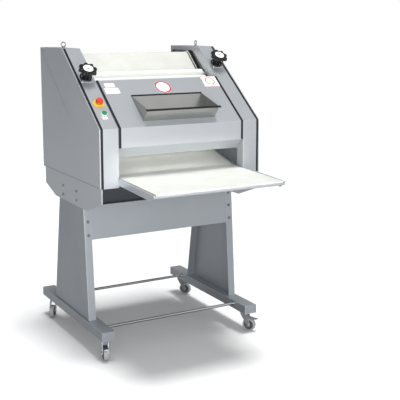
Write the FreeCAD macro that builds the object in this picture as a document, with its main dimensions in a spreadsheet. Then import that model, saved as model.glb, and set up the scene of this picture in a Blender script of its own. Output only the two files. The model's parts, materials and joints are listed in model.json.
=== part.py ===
import FreeCAD, Part
import Sketcher
import os
import re
from math import asin, atan2, cos, hypot, pi, sin

# Baguette moulder: a sheet-metal body with two side columns, a hinged front guard
# with a dough hopper, two belts, and a stand of two tapered legs on castered feet.
# While it is drawn, Y = 0 is the front face of the columns, X = 0 the middle and
# Z = 0 the floor. Each finished piece is then set back so that the origin lies on
# the floor in the middle of the machine's depth.

Vector = FreeCAD.Vector
X_AXIS = Vector(1, 0, 0)
Y_AXIS = Vector(0, 1, 0)
Z_AXIS = Vector(0, 0, 1)

# Driving dimensions, in millimetres and degrees.
SIZES = {
    # Body shell
    "body_width": 950,
    "body_depth": 850,
    "cover_bottom": 925,
    "front_height": 303,
    "slope_rise": 387,
    "slope_run": 500,
    "column_width": 105,
    "sheet_wall": 2,
    "frame_wall": 6,
    "frame_recess": 8,
    "flange_depth": 60,
    "top_flange": 24,
    "cover_depth": 6,
    "cover_sheet": 2,
    "cover_edge": 3,
    "seal_width": 14,
    "seal_depth": 12,
    "seal_inset": 1,
    "rear_panel_drop": 115,
    # Base under the body
    "base_wall": 6,
    "base_height": 148,
    "base_front_height": 79,
    "base_front_chamfer": 195,
    "base_rear_inset": 15,
    "base_rear_height": 97,
    "base_rear_chamfer": 160,
    "deck_wall": 4,
    "pan_depth": 151,
    "pan_front": 310,
    "pan_rear": 640,
    "pan_side_gap": 18,
    # Stand
    "foot_width": 75,
    "foot_height": 48,
    "foot_length": 920,
    "foot_front": 10,
    "foot_underside": 116,
    "foot_wall": 3,
    "leg_wall": 3,
    "leg_flange": 43,
    "leg_top_drop": 55,
    "leg_front_top": 275,
    "leg_front_foot": 222,
    "leg_rear_top": 612,
    "leg_rear_foot": 735,
    "beam_bottom": 601,
    "beam_height": 184,
    "beam_lip": 28,
    "beam_play": 0.3,
    "tie_radius": 8,
    "tie_front": 138,
    "tie_rear": 778,
    "tie_height": 146,
    "bolt_radius": 7,
    "bolt_head": 4,
    "base_bolt_front": 347,
    "base_bolt_pitch": 200,
    "base_bolt_drop": 119,
    "base_bolt_rise": 51,
    "beam_bolt_low": 627,
    "beam_bolt_rise": 74,
    "beam_bolt_inset": 20,
    # Casters
    "caster_front_inset": 64,
    "caster_rear_inset": 84,
    "wheel_radius": 37.5,
    "wheel_width": 26,
    "hub_radius": 27,
    "wheel_trail": 28,
    "axle_radius": 4,
    "fork_wall": 3,
    "fork_play": 2,
    "fork_top_width": 44,
    "fork_foot_radius": 12,
    "caster_plate_wall": 4,
    "caster_plate_length": 74,
    "caster_plate_width": 66,
    "swivel_radius": 20,
    "swivel_height": 9,
    "swivel_play": 0.3,
    "kingpin_radius": 6,
    "pedal_reach": 52,
    "pedal_wall": 4,
    "pedal_drop": 6,
    "pedal_pin_radius": 2.5,
    "pedal_pin_y": 24,
    "pedal_pin_z": 81,
    # Outfeed tray and lower belt
    "tray_reach": 400,
    "tray_side_lap": 3.5,
    "tray_side_wall": 4,
    "tray_side_front": 33,
    "tray_side_rear": 36,
    "tray_nose_cut": 40,
    "tray_rim": 3,
    "belt_wall": 2,
    "belt_play": 0.3,
    "belt_side_gap": 8,
    "nose_radius": 2.5,
    "nose_rise": 27.5,
    "bend_y": 95,
    "bend_rise": 22.5,
    "bend_radius": 150,
    "bed_wall": 3,
    "bed_play": 1.6,
    "bed_rear_gap": 60,
    "lower_drive_inset": 230,
    "lower_drive_rise": 104.5,
    "lower_drive_radius": 45,
    "return_y": 75,
    "return_drop": 6,
    "return_radius": 8,
    # Upper belt and its rollers
    "upper_radius": 38,
    "upper_side_gap": 20,
    "upper_drive_inset": 228,
    "upper_drive_drop": 73,
    "upper_front_inset": 32.5,
    "upper_front_drop": 212,
    "upper_nose_y": 330,
    "upper_nose_rise": 160.5,
    "upper_rear_inset": 250,
    "upper_rear_rise": 227.5,
    "cheek_wall": 20,
    "cheek_rim": 7,
    "guide_radius": 25,
    "guide_play": 0.4,
    "guide_shift": 17,
    "guide_gap": 2,
    "roller_side_gap": 16,
    "board_wall": 6,
    "board_play": 1,
    "board_lift": 12,
    "board_inset": 30,
    # Sheeting rollers under the hopper
    "sheeting_radius": 32,
    "sheeting_front_y": 84,
    "sheeting_drop": 43,
    "sheeting_gap": 12,
    "carriage_travel": 15,
    "carriage_wall": 11,
    "carriage_half": 24,
    "carriage_bar_radius": 8,
    "carriage_bar_shift": 58,
    # Shafts, bearings and drive
    "shaft_radius": 10,
    "shaft_play": 0.05,
    "hole_play": 1,
    "bearing_radius": 27,
    "bearing_wall": 12,
    "side_play": 0.5,
    "sprocket_wall": 6,
    "sprocket_step": 12,
    "sprocket_radius": 34,
    "gear_play": 0.2,
    "chain_wall": 5,
    "motor_inset": 95,
    "motor_rise": 87,
    "motor_radius": 62,
    "motor_length": 240,
    "motor_bracket_wall": 6,
    "gland_bore": 6.5,
    "gland_radius": 12,
    "gland_flange": 17,
    "gland_length": 26,
    "gland_side_gap": 70,
    "gland_rise": 75,
    # Front guard and hopper
    "guard_play": 1.5,
    "guard_top": 365,
    "guard_front_height": 101,
    "guard_return_y": 65,
    "guard_return_drop": 56,
    "guard_flange": 22,
    "guard_seal_width": 12,
    "guard_seal_wall": 2,
    "hinge_slope": 353,
    "hinge_depth": 12,
    "hinge_radius": 5,
    "hinge_length": 14,
    "mouth_half_width": 213,
    "mouth_low": 43,
    "mouth_high": 237,
    "hopper_height": 76,
    "hopper_wall": 2,
    "hopper_rim": 8,
    "hopper_play": 0.5,
    "chute_back_y": 134,
    "chute_front_y": 110,
    "chute_drop": 7,
    # Controls
    "adjuster_inset": 57,
    "adjuster_left": 389,
    "adjuster_right": 475,
    "adjuster_plate": 68,
    "adjuster_plate_wall": 4,
    "adjuster_screw": 4.5,
    "adjuster_screw_inset": 7,
    "adjuster_screw_head": 3,
    "collar_radius": 33,
    "collar_bore": 27,
    "collar_height": 8,
    "spindle_radius": 7,
    "spindle_length": 90,
    "neck_radius": 20,
    "neck_top_radius": 30,
    "neck_height": 40,
    "knob_radius": 40,
    "knob_height": 24,
    "lobe_radius": 11,
    "lobe_count": 8,
    "dial_radius": 27,
    "dial_wall": 2,
    "button_inset": 63,
    "estop_slope": 190,
    "estop_plate": 29.5,
    "estop_plate_height": 8,
    "estop_stem": 11,
    "estop_head": 20,
    "estop_head_height": 14,
    "estop_travel": 5,
    "start_slope": 108,
    "start_plate": 17,
    "start_plate_height": 9,
    "start_head": 13.5,
    "start_head_height": 15,
    "start_travel": 3,
    "button_play": 0.4,
    "block_wall": 6,
    "block_depth": 20,
    # Lifting eyes
    "eye_inset": 55,
    "eye_rear_inset": 230,
    "eye_bore": 9,
    "eye_radius": 15.5,
    "eye_wall": 7,
    "eye_collar": 10,
    "eye_collar_height": 5,
    "eye_turn": 35,
}

# Sizes that follow from the driving ones, as formulas in their names.
FORMULAS = {
    "half_width": "body_width / 2",
    "opening_half": "half_width - column_width",
    "frame_inner": "opening_half + frame_recess",
    "frame_outer": "frame_inner + frame_wall",
    "cover_inner": "half_width - cover_depth",
    "seal_inner": "cover_inner - seal_width",
    "base_outer": "cover_inner",
    "base_inner": "base_outer - base_wall",
    "fold_height": "cover_bottom + front_height",
    "body_top": "fold_height + slope_rise",
    "slope_length": "sqrt(slope_run * slope_run + slope_rise * slope_rise)",
    "slope_cos": "slope_run / slope_length",
    "slope_sin": "slope_rise / slope_length",
    "slope_angle": "atan(slope_rise / slope_run)",
    "foot_rear": "foot_front + foot_length",
    "foot_top": "foot_underside + foot_height",
    "mid_depth": "(foot_rear - tray_reach) / 2",
    "rear_panel_top": "body_top - rear_panel_drop",
    "base_bottom": "cover_bottom - base_height",
    "base_rear": "body_depth - base_rear_inset",
    "base_bolt_low": "cover_bottom - base_bolt_drop",
    "deck_under": "cover_bottom - deck_wall",
    "pan_bottom": "deck_under - pan_depth",
    "pan_half_width": "opening_half - pan_side_gap",
    "leg_top": "cover_bottom - leg_top_drop",
    "leg_inner": "base_inner - leg_flange",
    "leg_span": "leg_top - foot_top",
    "leg_lean": "(leg_front_top - leg_front_foot) / leg_span",
    "caster_x": "half_width - foot_width / 2",
    "caster_front": "foot_front + caster_front_inset",
    "caster_rear": "foot_rear - caster_rear_inset",
    "caster_plate_under": "foot_underside - caster_plate_wall",
    "fork_top": "caster_plate_under - swivel_play",
    "fork_inner": "wheel_width / 2 + fork_play",
    "fork_crown": "fork_top - swivel_height",
    "tray_half_width": "opening_half + tray_side_lap",
    "belt_half_width": "opening_half - belt_side_gap",
    "upper_half_width": "opening_half - upper_side_gap",
    "roller_half_width": "opening_half - roller_side_gap",
    "nose_height": "cover_bottom + nose_rise",
    "bend_z": "nose_height + bend_rise",
    "return_z": "nose_height - return_drop",
    "lower_drive_y": "body_depth - lower_drive_inset",
    "lower_drive_z": "nose_height + lower_drive_rise",
    "bed_rear": "lower_drive_y - bed_rear_gap",
    "upper_drive_y": "body_depth - upper_drive_inset",
    "upper_drive_z": "body_top - upper_drive_drop",
    "upper_front_y": "slope_run - upper_front_inset",
    "upper_front_z": "body_top - upper_front_drop",
    "upper_nose_z": "nose_height + upper_nose_rise",
    "upper_rear_y": "body_depth - upper_rear_inset",
    "upper_rear_z": "nose_height + upper_rear_rise",
    "sheeting_z": "fold_height - sheeting_drop",
    "motor_y": "body_depth - motor_inset",
    "motor_z": "cover_bottom + motor_rise",
    "gland_x": "opening_half - gland_side_gap",
    "gland_z": "cover_bottom + gland_rise",
    "guard_lip": "fold_height - guard_front_height",
    "guard_return_z": "guard_lip - guard_return_drop",
    "chute_z": "fold_height - chute_drop",
    "adjuster_x": "half_width - adjuster_inset",
    "button_x": "half_width - button_inset",
    "eye_x": "half_width - eye_inset",
    "eye_y": "body_depth - eye_rear_inset",
    "nose_z": "nose_height",
    "nose_y": "nose_radius + belt_wall + belt_play - tray_reach",
    "bed_gap": "belt_wall + bed_play",
    "bed_rise": "(lower_drive_z + lower_drive_radius + belt_wall - bend_z) / (lower_drive_y - bend_y)",
    "bed_rear_z": "bend_z + bed_rise * (bed_rear - bend_y) - bed_gap",
    "upper_reach": "sqrt(pow(upper_drive_y - upper_front_y; 2) + pow(upper_drive_z - upper_front_z; 2))",
    "upper_cos": "(upper_drive_y - upper_front_y) / upper_reach",
    "upper_sin": "(upper_drive_z - upper_front_z) / upper_reach",
    "guide_stand": "upper_radius + belt_play + belt_wall + guide_play + guide_radius",
    "guide_step": "2 * guide_radius + guide_gap",
    "guide_upper_y": "upper_front_y - upper_sin * guide_stand + upper_cos * guide_shift",
    "guide_upper_z": "upper_front_z + upper_cos * guide_stand + upper_sin * guide_shift",
    "guide_lower_y": "guide_upper_y - slope_cos * guide_step",
    "guide_lower_z": "guide_upper_z - slope_sin * guide_step",
    "sheeting_rear_y": "sheeting_front_y + 2 * sheeting_radius + sheeting_gap",
    "shaft_hole": "shaft_radius + hole_play",
    "bearing_outer": "frame_outer + bearing_wall",
    "sprocket_inner": "bearing_outer + side_play",
    "gear_radius": "sheeting_radius + sheeting_gap / 2 - gear_play",
    "guard_half": "opening_half - guard_play",
    "hinge_y": "slope_cos * hinge_slope + slope_sin * hinge_depth",
    "hinge_z": "fold_height + slope_sin * hinge_slope - slope_cos * hinge_depth",
    "board_slope": "atan((upper_rear_z - upper_nose_z) / (upper_rear_y - upper_nose_y))",
    "board_length": "sqrt(pow(upper_rear_y - upper_nose_y; 2) + pow(upper_rear_z - upper_nose_z; 2))",
    "return_run": "sqrt(guard_return_y * guard_return_y + pow(guard_lip - guard_return_z; 2))",
    "return_cos": "guard_return_y / return_run",
    "return_sin": "(guard_lip - guard_return_z) / return_run",
    "return_miter": "(return_sin - 1) / return_cos",
    "board_foot": "board_play - upper_radius",
    "lug_half": "carriage_half",
    "eye_centre": "body_top + eye_collar_height + eye_radius - 1",
}

WORD = re.compile(r"[a-z][a-z_0-9]*")

document = FreeCAD.newDocument("BaguetteMoulder")
sheet = document.addObject("Spreadsheet::Sheet", "Sizes")
for row, (name, number) in enumerate(SIZES.items(), start=1):
    sheet.set(f"A{row}", name)
    sheet.set(f"B{row}", str(number))
    sheet.setAlias(f"B{row}", name)
worked_out = document.addObject("App::VarSet", "WorkedOut")
document.recompute()

finished = []


def formula(text):
    """Write a formula over named sizes in the form that the document binds."""
    def spell(match):
        word = match.group(0)
        if word in FORMULAS:
            return "(" + formula(FORMULAS[word]) + ")"
        return "Sizes." + word if word in SIZES else word
    return WORD.sub(spell, text)


def number(name):
    """A named size, or a named formula over them, as a number."""
    if name in SIZES:
        return float(sheet.get(name))
    if name not in worked_out.PropertiesList:
        worked_out.addProperty("App::PropertyFloat", name)
        worked_out.setExpression(name, formula(name))
        document.recompute()
    return getattr(worked_out, name)


def place(item, x="0", y="0", z="0", axis=Z_AXIS, angle=None):
    """Bind an object's place, and its turn about an axis, to formulas."""
    item.Placement = FreeCAD.Placement(Vector(), FreeCAD.Rotation(axis, 1 if angle else 0))
    for letter, text in zip("xyz", (x, y, z)):
        item.setExpression(f".Placement.Base.{letter}", formula(text))
    if angle:
        item.setExpression(".Placement.Rotation.Angle", formula(angle))
    return item


def turn(item, axis, degrees):
    """Give an object a fixed quarter or half turn."""
    item.Placement.Rotation = FreeCAD.Rotation(axis, degrees)
    return item


def finish(item, label, y="0", z="0", x="0", axis=Z_AXIS, angle=None):
    """Name a finished sub-part and set it back to the machine's own origin."""
    item.Label = label
    place(item, x, f"{y} - mid_depth", z, axis, angle)
    finished.append(item)
    return item


def on_slope(item, label, x, distance):
    """Finish a piece drawn about its own Z axis as standing on the sloping face."""
    return finish(item, label, f"slope_cos * ({distance})", f"fold_height + slope_sin * ({distance})",
                  x, X_AXIS, "slope_angle")


def slope_point(distance, depth="0"):
    """A point of the side view, so far up the slope and so deep under its surface."""
    return (f"slope_cos * ({distance}) + slope_sin * ({depth})",
            f"fold_height + slope_sin * ({distance}) - slope_cos * ({depth})")


def outline(inset, depth="body_depth", bottom="cover_bottom"):
    """The body's side outline, drawn in from its edge by an inset."""
    inset = f"({inset})"
    fold = f"fold_height - {inset} * (1 - slope_sin) / slope_cos"
    crest = f"slope_run + {inset} * (1 - slope_cos) / slope_sin"
    return [(inset, f"{bottom} + {inset}"), (inset, fold), (crest, f"body_top - {inset}"),
            (f"{depth} - {inset}", f"body_top - {inset}"), (f"{depth} - {inset}", f"{bottom} + {inset}")]


def origin_plane(body, role):
    """One of a body's own origin planes."""
    return [feature for feature in body.Origin.OriginFeatures if feature.Role == role][0]


def add_loop(sketch, points):
    """Draw one closed polygon whose corners are bound to formulas."""
    count = len(points)
    first = sketch.GeometryCount
    ring = [Vector(cos(2 * pi * i / count), sin(2 * pi * i / count), 0) * 10 for i in range(count)]
    sketch.addGeometry([Part.LineSegment(ring[i], ring[(i + 1) % count]) for i in range(count)])
    rules = [Sketcher.Constraint("Coincident", first + i, 2, first + (i + 1) % count, 1)
             for i in range(count)]
    for i, corner in enumerate(ring):
        rules.append(Sketcher.Constraint("DistanceX", -1, 1, first + i, 1, corner.x))
        rules.append(Sketcher.Constraint("DistanceY", -1, 1, first + i, 1, corner.y))
    bound = sketch.ConstraintCount + count
    sketch.addConstraint(rules)
    for i, (across, up) in enumerate(points):
        sketch.setExpression(f"Constraints[{bound + 2 * i}]", formula(across))
        sketch.setExpression(f"Constraints[{bound + 2 * i + 1}]", formula(up))


def add_circle(sketch, across, up, radius):
    """Draw one circle whose centre and radius are bound to formulas."""
    index = sketch.addGeometry(Part.Circle(Vector(0, 0, 0), Z_AXIS, 5))
    bound = sketch.ConstraintCount
    sketch.addConstraint([Sketcher.Constraint("DistanceX", -1, 1, index, 3, 1.0),
                          Sketcher.Constraint("DistanceY", -1, 1, index, 3, 1.0),
                          Sketcher.Constraint("Radius", index, 5.0)])
    for step, text in enumerate((across, up, radius)):
        sketch.setExpression(f"Constraints[{bound + step}]", formula(text))


def draw(body, role, offset, loops, circles=()):
    """A sketch on one of the body's planes, moved along its normal by an offset."""
    sketch = body.newObject("Sketcher::SketchObject", "Outline")
    sketch.AttachmentSupport = (origin_plane(body, role), [""])
    sketch.MapMode = "FlatFace"
    for points in loops:
        add_loop(sketch, points)
    for circle in circles:
        add_circle(sketch, *circle)
    sketch.setExpression(".AttachmentOffset.Base.z", formula(offset))
    return sketch


def new_body(name):
    return document.addObject("PartDesign::Body", name)


def pad(body, role, offset, length, loops, circles=(), back=False):
    """Pad a sketch along its plane's normal, or against it."""
    feature = body.newObject("PartDesign::Pad", "Pad")
    feature.Profile = draw(body, role, offset, loops, circles)
    feature.setExpression("Length", formula(length))
    feature.Reversed = back
    return feature


def pocket(body, role, offset, length, loops, circles=(), back=False):
    """Cut a sketch into the body, against its plane's normal unless turned back."""
    document.recompute()
    before = body.Shape.Volume
    feature = body.newObject("PartDesign::Pocket", "Pocket")
    feature.Profile = draw(body, role, offset, loops, circles)
    feature.setExpression("Length", formula(length))
    feature.Reversed = back
    document.recompute()
    if body.Shape.Volume >= before:
        raise RuntimeError(body.Name + ": a pocket cuts nothing")
    return feature


def side_plate(name, side, outer, wall, loops, circles=()):
    """A flat plate whose outer face is at +outer or -outer and which lies inwards of it."""
    body = new_body(name)
    pad(body, "YZ_Plane", f"{side} * ({outer})", wall, loops, circles, back=side > 0)
    return body


def box(x, y, z, length, width, height):
    """A box from its lowest corner."""
    item = document.addObject("Part::Box", "Block")
    for prop, text in (("Length", length), ("Width", width), ("Height", height)):
        item.setExpression(prop, formula(text))
    return place(item, x, y, z)


def cylinder(radius, height, x="0", y="0", z="0", along="z"):
    """A cylinder that starts at a point and runs along X, Y or Z."""
    item = document.addObject("Part::Cylinder", "Round")
    item.setExpression("Radius", formula(radius))
    item.setExpression("Height", formula(height))
    place(item, x, y, z)
    if along == "x":
        turn(item, Y_AXIS, 90)
    if along == "y":
        turn(item, X_AXIS, -90)
    return item


def cone(low, high, height, z="0"):
    item = document.addObject("Part::Cone", "Taper")
    item.setExpression("Radius1", formula(low))
    item.setExpression("Radius2", formula(high))
    item.setExpression("Height", formula(height))
    return place(item, "0", "0", z)


def hexagon(radius, height, x, y, z, along="z"):
    """A hexagonal bolt head that starts at a point and runs along X or Z."""
    item = document.addObject("Part::Prism", "Hexagon")
    item.Polygon = 6
    item.setExpression("Circumradius", formula(radius))
    item.setExpression("Height", formula(height))
    place(item, x, y, z)
    if along == "x":
        turn(item, Y_AXIS, 90)
    return item


def fuse(items):
    item = document.addObject("Part::MultiFuse", "Joined")
    item.Shapes = items
    item.Refine = False
    return item


def cut(base, tool):
    item = document.addObject("Part::Cut", "Cut")
    item.Base = base
    item.Tool = tool
    return item


def group(items):
    """Separate solids that share one node."""
    item = document.addObject("Part::Compound", "Group")
    item.Links = items
    return item


def tube(radius, bore, height, x="0", y="0", z="0", along="z"):
    """A ring or bush: a cylinder with a bore right through it."""
    return cut(cylinder(radius, height, x, y, z, along), cylinder(bore, height, x, y, z, along))


def solid_piece(label, shape):
    """A sub-part whose shape is worked out here, because no feature draws it."""
    item = document.addObject("Part::Feature", label)
    item.Shape = shape
    return finish(item, label)


def round_path(wheels, offset, x):
    """A closed wire that runs round a list of wheels (y, z, radius), anticlockwise in
    the side view. A negative radius is a wheel outside the loop. The offset moves the
    wire outwards. Each straight run is the common tangent of two wheels: it leaves their
    centres at an angle of the centre line less the arcsine of the radius difference
    over the distance."""
    count = len(wheels)
    radii = [radius + offset for _, _, radius in wheels]
    headings = []
    for i in range(count):
        y1, z1, _ = wheels[i]
        y2, z2, _ = wheels[(i + 1) % count]
        spread = radii[(i + 1) % count] - radii[i]
        headings.append(atan2(z2 - z1, y2 - y1) - asin(spread / hypot(y2 - y1, z2 - z1)))

    def rim(i, heading):
        y, z, _ = wheels[i]
        return Vector(x, y + radii[i] * sin(heading), z - radii[i] * cos(heading))

    edges = []
    for i in range(count):
        arrive = headings[i - 1]
        swing = (headings[i] - arrive + pi) % (2 * pi) - pi
        if radii[i] > 0 and swing < 0:
            swing += 2 * pi
        leave = arrive + swing
        start, end = rim(i, arrive), rim(i, leave)
        edges.append(Part.Arc(start, rim(i, arrive + swing / 2), end).toShape())
        edges.append(Part.LineSegment(end, rim((i + 1) % count, headings[i])).toShape())
    return Part.Wire(edges)


def band(wheels, play, wall, x, width):
    """An endless belt or chain round wheels, drawn as the ring between two paths."""
    outer = Part.Face(round_path(wheels, play + wall, x))
    inner = Part.Face(round_path(wheels, play, x))
    return outer.cut(inner).extrude(Vector(width, 0, 0))


def wheel(name, radius):
    """A named roller's centre and radius as numbers."""
    return number(name + "_y"), number(name + "_z"), number(radius)


# Body shell
def side_covers():
    for side, name in ((-1, "left"), (1, "right")):
        body = side_plate("SideCover", side, "half_width", "cover_depth", [outline("0")])
        pocket(body, "YZ_Plane", f"{side} * cover_inner", "cover_depth - cover_sheet",
               [outline("cover_edge")], back=side > 0)
        finish(body, "side_cover_" + name)


def cover_gaskets():
    rings = []
    for side in (-1, 1):
        loops = [outline("seal_inset"), outline("seal_inset + seal_depth")]
        rings.append(side_plate("CoverGasket", side, "cover_inner", "seal_width", loops))
    finish(group(rings), "cover_gaskets")


def panel_strip(front_depth, top_depth):
    """The body outline's front, slope, top and upper rear as a strip of two depths."""
    crest = f"(slope_rise - {top_depth} + {front_depth} / slope_cos) * slope_run / slope_rise"
    fold = f"fold_height - {front_depth} * (1 - slope_sin) / slope_cos"
    top, rear = f"body_top - {top_depth}", f"body_depth - {top_depth}"
    strip = [("0", "cover_bottom"), ("0", "fold_height"), ("slope_run", "body_top"),
             ("body_depth", "body_top"), ("body_depth", "rear_panel_top")]
    return strip + [(rear, "rear_panel_top"), (rear, top), (crest, top), (front_depth, fold),
                    (front_depth, "cover_bottom")]


def column_panels():
    """Folded sheet over each column's edges, with a return flange on its inner side."""
    pin = ("hinge_y", "hinge_z", "hinge_radius + hole_play")
    for side, name in ((-1, "left"), (1, "right")):
        strip = panel_strip("sheet_wall", "sheet_wall")
        body = side_plate("ColumnPanel", side, "seal_inner", "seal_inner - opening_half", [strip])
        flange = panel_strip("flange_depth", "top_flange")
        pad(body, "YZ_Plane", f"{side} * (opening_half + sheet_wall)", "sheet_wall", [flange], [pin],
            back=side > 0)
        distance = "adjuster_left" if side < 0 else "adjuster_right"
        holes = [slope_hole(side, "adjuster_x", distance, "spindle_radius + hole_play")]
        if side < 0:
            holes.append(slope_hole(side, "button_x", "estop_slope", "estop_stem + button_play"))
            holes.append(slope_hole(side, "button_x", "start_slope", "start_head + button_play"))
        tool = fuse(holes) if len(holes) > 1 else holes[0]
        finish(cut(body, tool), "column_panel_" + name)


def slope_hole(side, x, distance, radius):
    """A round cutter square to the slope, long enough to pass through its sheet."""
    reach = "sheet_wall * 4"
    y, z = slope_point(distance, reach + " / 2")
    item = cylinder(radius, reach)
    return place(item, f"{side} * {x}", y, z, X_AXIS, "slope_angle")


def bearing_points():
    """Where each roller shaft passes through the side frames."""
    names = ("lower_drive", "upper_drive", "upper_front", "upper_nose", "upper_rear", "guide_upper",
             "guide_lower")
    points = [(name + "_y", name + "_z") for name in names]
    return points + [("sheeting_front_y", "sheeting_z")]


def slot(low_y, high_y, z, half_height):
    """A rectangular slot for something that slides along Y."""
    return [(low_y, f"{z} - {half_height}"), (high_y, f"{z} - {half_height}"),
            (high_y, f"{z} + {half_height}"), (low_y, f"{z} + {half_height}")]


def board_slot():
    """The slot that the pressure board's end lugs slide in, along the board's normal."""
    mid_y = "(upper_nose_y + upper_rear_y) / 2"
    mid_z = "(upper_nose_z + upper_rear_z) / 2"
    low = "board_foot - hole_play"
    high = "board_foot + board_wall + board_lift + hole_play"
    corners = []
    for along, up in (("-lug_half", low), ("lug_half", low), ("lug_half", high), ("-lug_half", high)):
        corners.append((f"{mid_y} + ({along}) * cos(board_slope) - ({up}) * sin(board_slope)",
                        f"{mid_z} + ({along}) * sin(board_slope) + ({up}) * cos(board_slope)"))
    return corners


def side_frames():
    holes = [(y, z, "shaft_hole") for y, z in bearing_points()]
    reach = "carriage_travel + shaft_hole"
    slots = [slot("sheeting_rear_y - shaft_hole", f"sheeting_rear_y + {reach}", "sheeting_z", "shaft_hole"),
             slot("sheeting_rear_y + carriage_bar_shift - shaft_hole",
                  f"sheeting_rear_y + carriage_bar_shift + {reach}", "sheeting_z", "shaft_hole"),
             board_slot()]
    edge = outline("sheet_wall", bottom="cover_bottom - sheet_wall")
    pin = ("hinge_y", "hinge_z", "hinge_radius")
    for side, name in ((-1, "left"), (1, "right")):
        motor = [("motor_y", "motor_z", "shaft_hole")] if side > 0 else []
        body = side_plate("SideFrame", side, "frame_outer", "frame_wall", [edge] + slots, holes + motor)
        pad(body, "YZ_Plane", f"{side} * frame_inner", "frame_recess + hinge_length", [], [pin], back=side > 0)
        finish(body, "side_frame_" + name)


def rear_panel():
    item = box("-seal_inner", "body_depth - sheet_wall", "cover_bottom",
               "2 * seal_inner", "sheet_wall", "rear_panel_top - cover_bottom")
    hole = cylinder("gland_radius", "3 * sheet_wall", "-gland_x", "body_depth - 2 * sheet_wall", "gland_z", "y")
    finish(cut(item, hole), "rear_panel")


def mains_gland():
    flange = cylinder("gland_flange", "sheet_wall * 2", "-gland_x", "body_depth", "gland_z", "y")
    barrel = cylinder("gland_radius", "gland_length", "-gland_x",
                      "body_depth + 6 * sheet_wall - gland_length", "gland_z", "y")
    bore = cylinder("gland_bore", "gland_length", "-gland_x",
                    "body_depth + 6 * sheet_wall - gland_length", "gland_z", "y")
    finish(cut(fuse([flange, barrel]), bore), "mains_gland")


def lifting_eyes():
    eyes = []
    for side in (-1, 1):
        ring = tube("eye_radius", "eye_bore", "eye_wall", "0", "-eye_wall / 2", "0", "y")
        place(ring, f"{side} * eye_x", "eye_y", "eye_centre", Z_AXIS, f"{side} * eye_turn")
        foot = cylinder("eye_collar", "eye_collar_height", f"{side} * eye_x", "eye_y", "body_top")
        stem = cylinder("eye_wall / 2", "eye_collar_height + eye_radius - eye_bore - 1",
                        f"{side} * eye_x", "eye_y", "body_top")
        eyes.append(fuse([ring, foot, stem]))
    finish(group(eyes), "eye_bolts")


# Base and stand
def base_sides():
    edge = [("0", "cover_bottom"), ("0", "cover_bottom - base_front_height"),
            ("base_front_chamfer", "base_bottom"), ("base_rear - base_rear_chamfer", "base_bottom"),
            ("base_rear", "cover_bottom - base_rear_height"), ("base_rear", "cover_bottom")]
    for side, name in ((-1, "left"), (1, "right")):
        finish(side_plate("BaseSide", side, "base_outer", "base_wall", [edge]), "base_side_" + name)


def bottom_pan():
    """The deck under the body, with an open crumb pan folded down below the belts."""
    body = new_body("BottomPan")
    deck = [("-base_inner", "0"), ("base_inner", "0"), ("base_inner", "base_rear"), ("-base_inner", "base_rear")]
    wide = "pan_half_width"
    pan = [(f"-{wide}", "pan_front"), (wide, "pan_front"), (wide, "pan_rear"), (f"-{wide}", "pan_rear")]
    near, far = "pan_front + sheet_wall", "pan_rear - sheet_wall"
    inside = f"({wide} - sheet_wall)"
    hollow = [(f"-{inside}", near), (inside, near), (inside, far), (f"-{inside}", far)]
    pad(body, "XY_Plane", "deck_under", "deck_wall", [deck])
    pad(body, "XY_Plane", "pan_bottom", "pan_depth", [pan])
    pocket(body, "XY_Plane", "cover_bottom", "deck_wall + pan_depth - sheet_wall", [hollow])
    finish(body, "bottom_pan")


def feet():
    for side, name in ((-1, "left"), (1, "right")):
        x = "half_width - foot_width" if side > 0 else "-half_width"
        tube_length = "foot_length - 2 * foot_wall"
        start = "foot_front + foot_wall"
        outer = box(x, start, "foot_underside", "foot_width", tube_length, "foot_height")
        inner = box(x + " + foot_wall", start, "foot_underside + foot_wall",
                    "foot_width - 2 * foot_wall", tube_length, "foot_height - 2 * foot_wall")
        caps = [box(x, y, "foot_underside", "foot_width", "foot_wall", "foot_height")
                for y in ("foot_front", "foot_rear - foot_wall")]
        finish(group([cut(outer, inner)] + caps), "foot_" + name)


def legs():
    edge = [("leg_front_top", "leg_top"), ("leg_front_foot", "foot_top"),
            ("leg_rear_foot", "foot_top"), ("leg_rear_top", "leg_top")]
    hollow = [("leg_front_top + leg_wall", "leg_top + leg_wall"),
              ("leg_front_foot + leg_wall", "foot_top + leg_wall"),
              ("leg_rear_foot - leg_wall", "foot_top + leg_wall"),
              ("leg_rear_top - leg_wall", "leg_top + leg_wall")]
    for side, name in ((-1, "left"), (1, "right")):
        body = side_plate("Leg", side, "base_inner", "leg_flange", [edge])
        pocket(body, "YZ_Plane", f"{side} * leg_inner", "leg_flange - leg_wall", [hollow], back=side > 0)
        finish(body, "leg_" + name)


def leg_face(z):
    """How far back the inside of the legs' front flange is at a height."""
    return f"leg_front_top - leg_lean * (leg_top - ({z})) + leg_wall + beam_play"


def crossbeam():
    low, high = "beam_bottom", "beam_bottom + beam_height"
    wall = "leg_wall"
    edge = [(leg_face(low), low), (leg_face(high), high),
            (leg_face(high) + " + beam_lip", high), (leg_face(high) + " + beam_lip", f"{high} - {wall}"),
            (leg_face(high) + f" + {wall}", f"{high} - {wall}"),
            (leg_face(low) + f" + {wall}", f"{low} + {wall}"),
            (leg_face(low) + " + beam_lip", f"{low} + {wall}"), (leg_face(low) + " + beam_lip", low)]
    body = new_body("Crossbeam")
    half = "base_inner - leg_wall - beam_play"
    pad(body, "YZ_Plane", f"-({half})", f"2 * ({half})", [edge])
    finish(body, "crossbeam")


def tie_rods():
    half = "half_width - foot_width"
    rods = [cylinder("tie_radius", f"2 * ({half})", f"-({half})", y, "tie_height", "x")
            for y in ("tie_front", "tie_rear")]
    finish(group(rods), "tie_rods")


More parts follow.
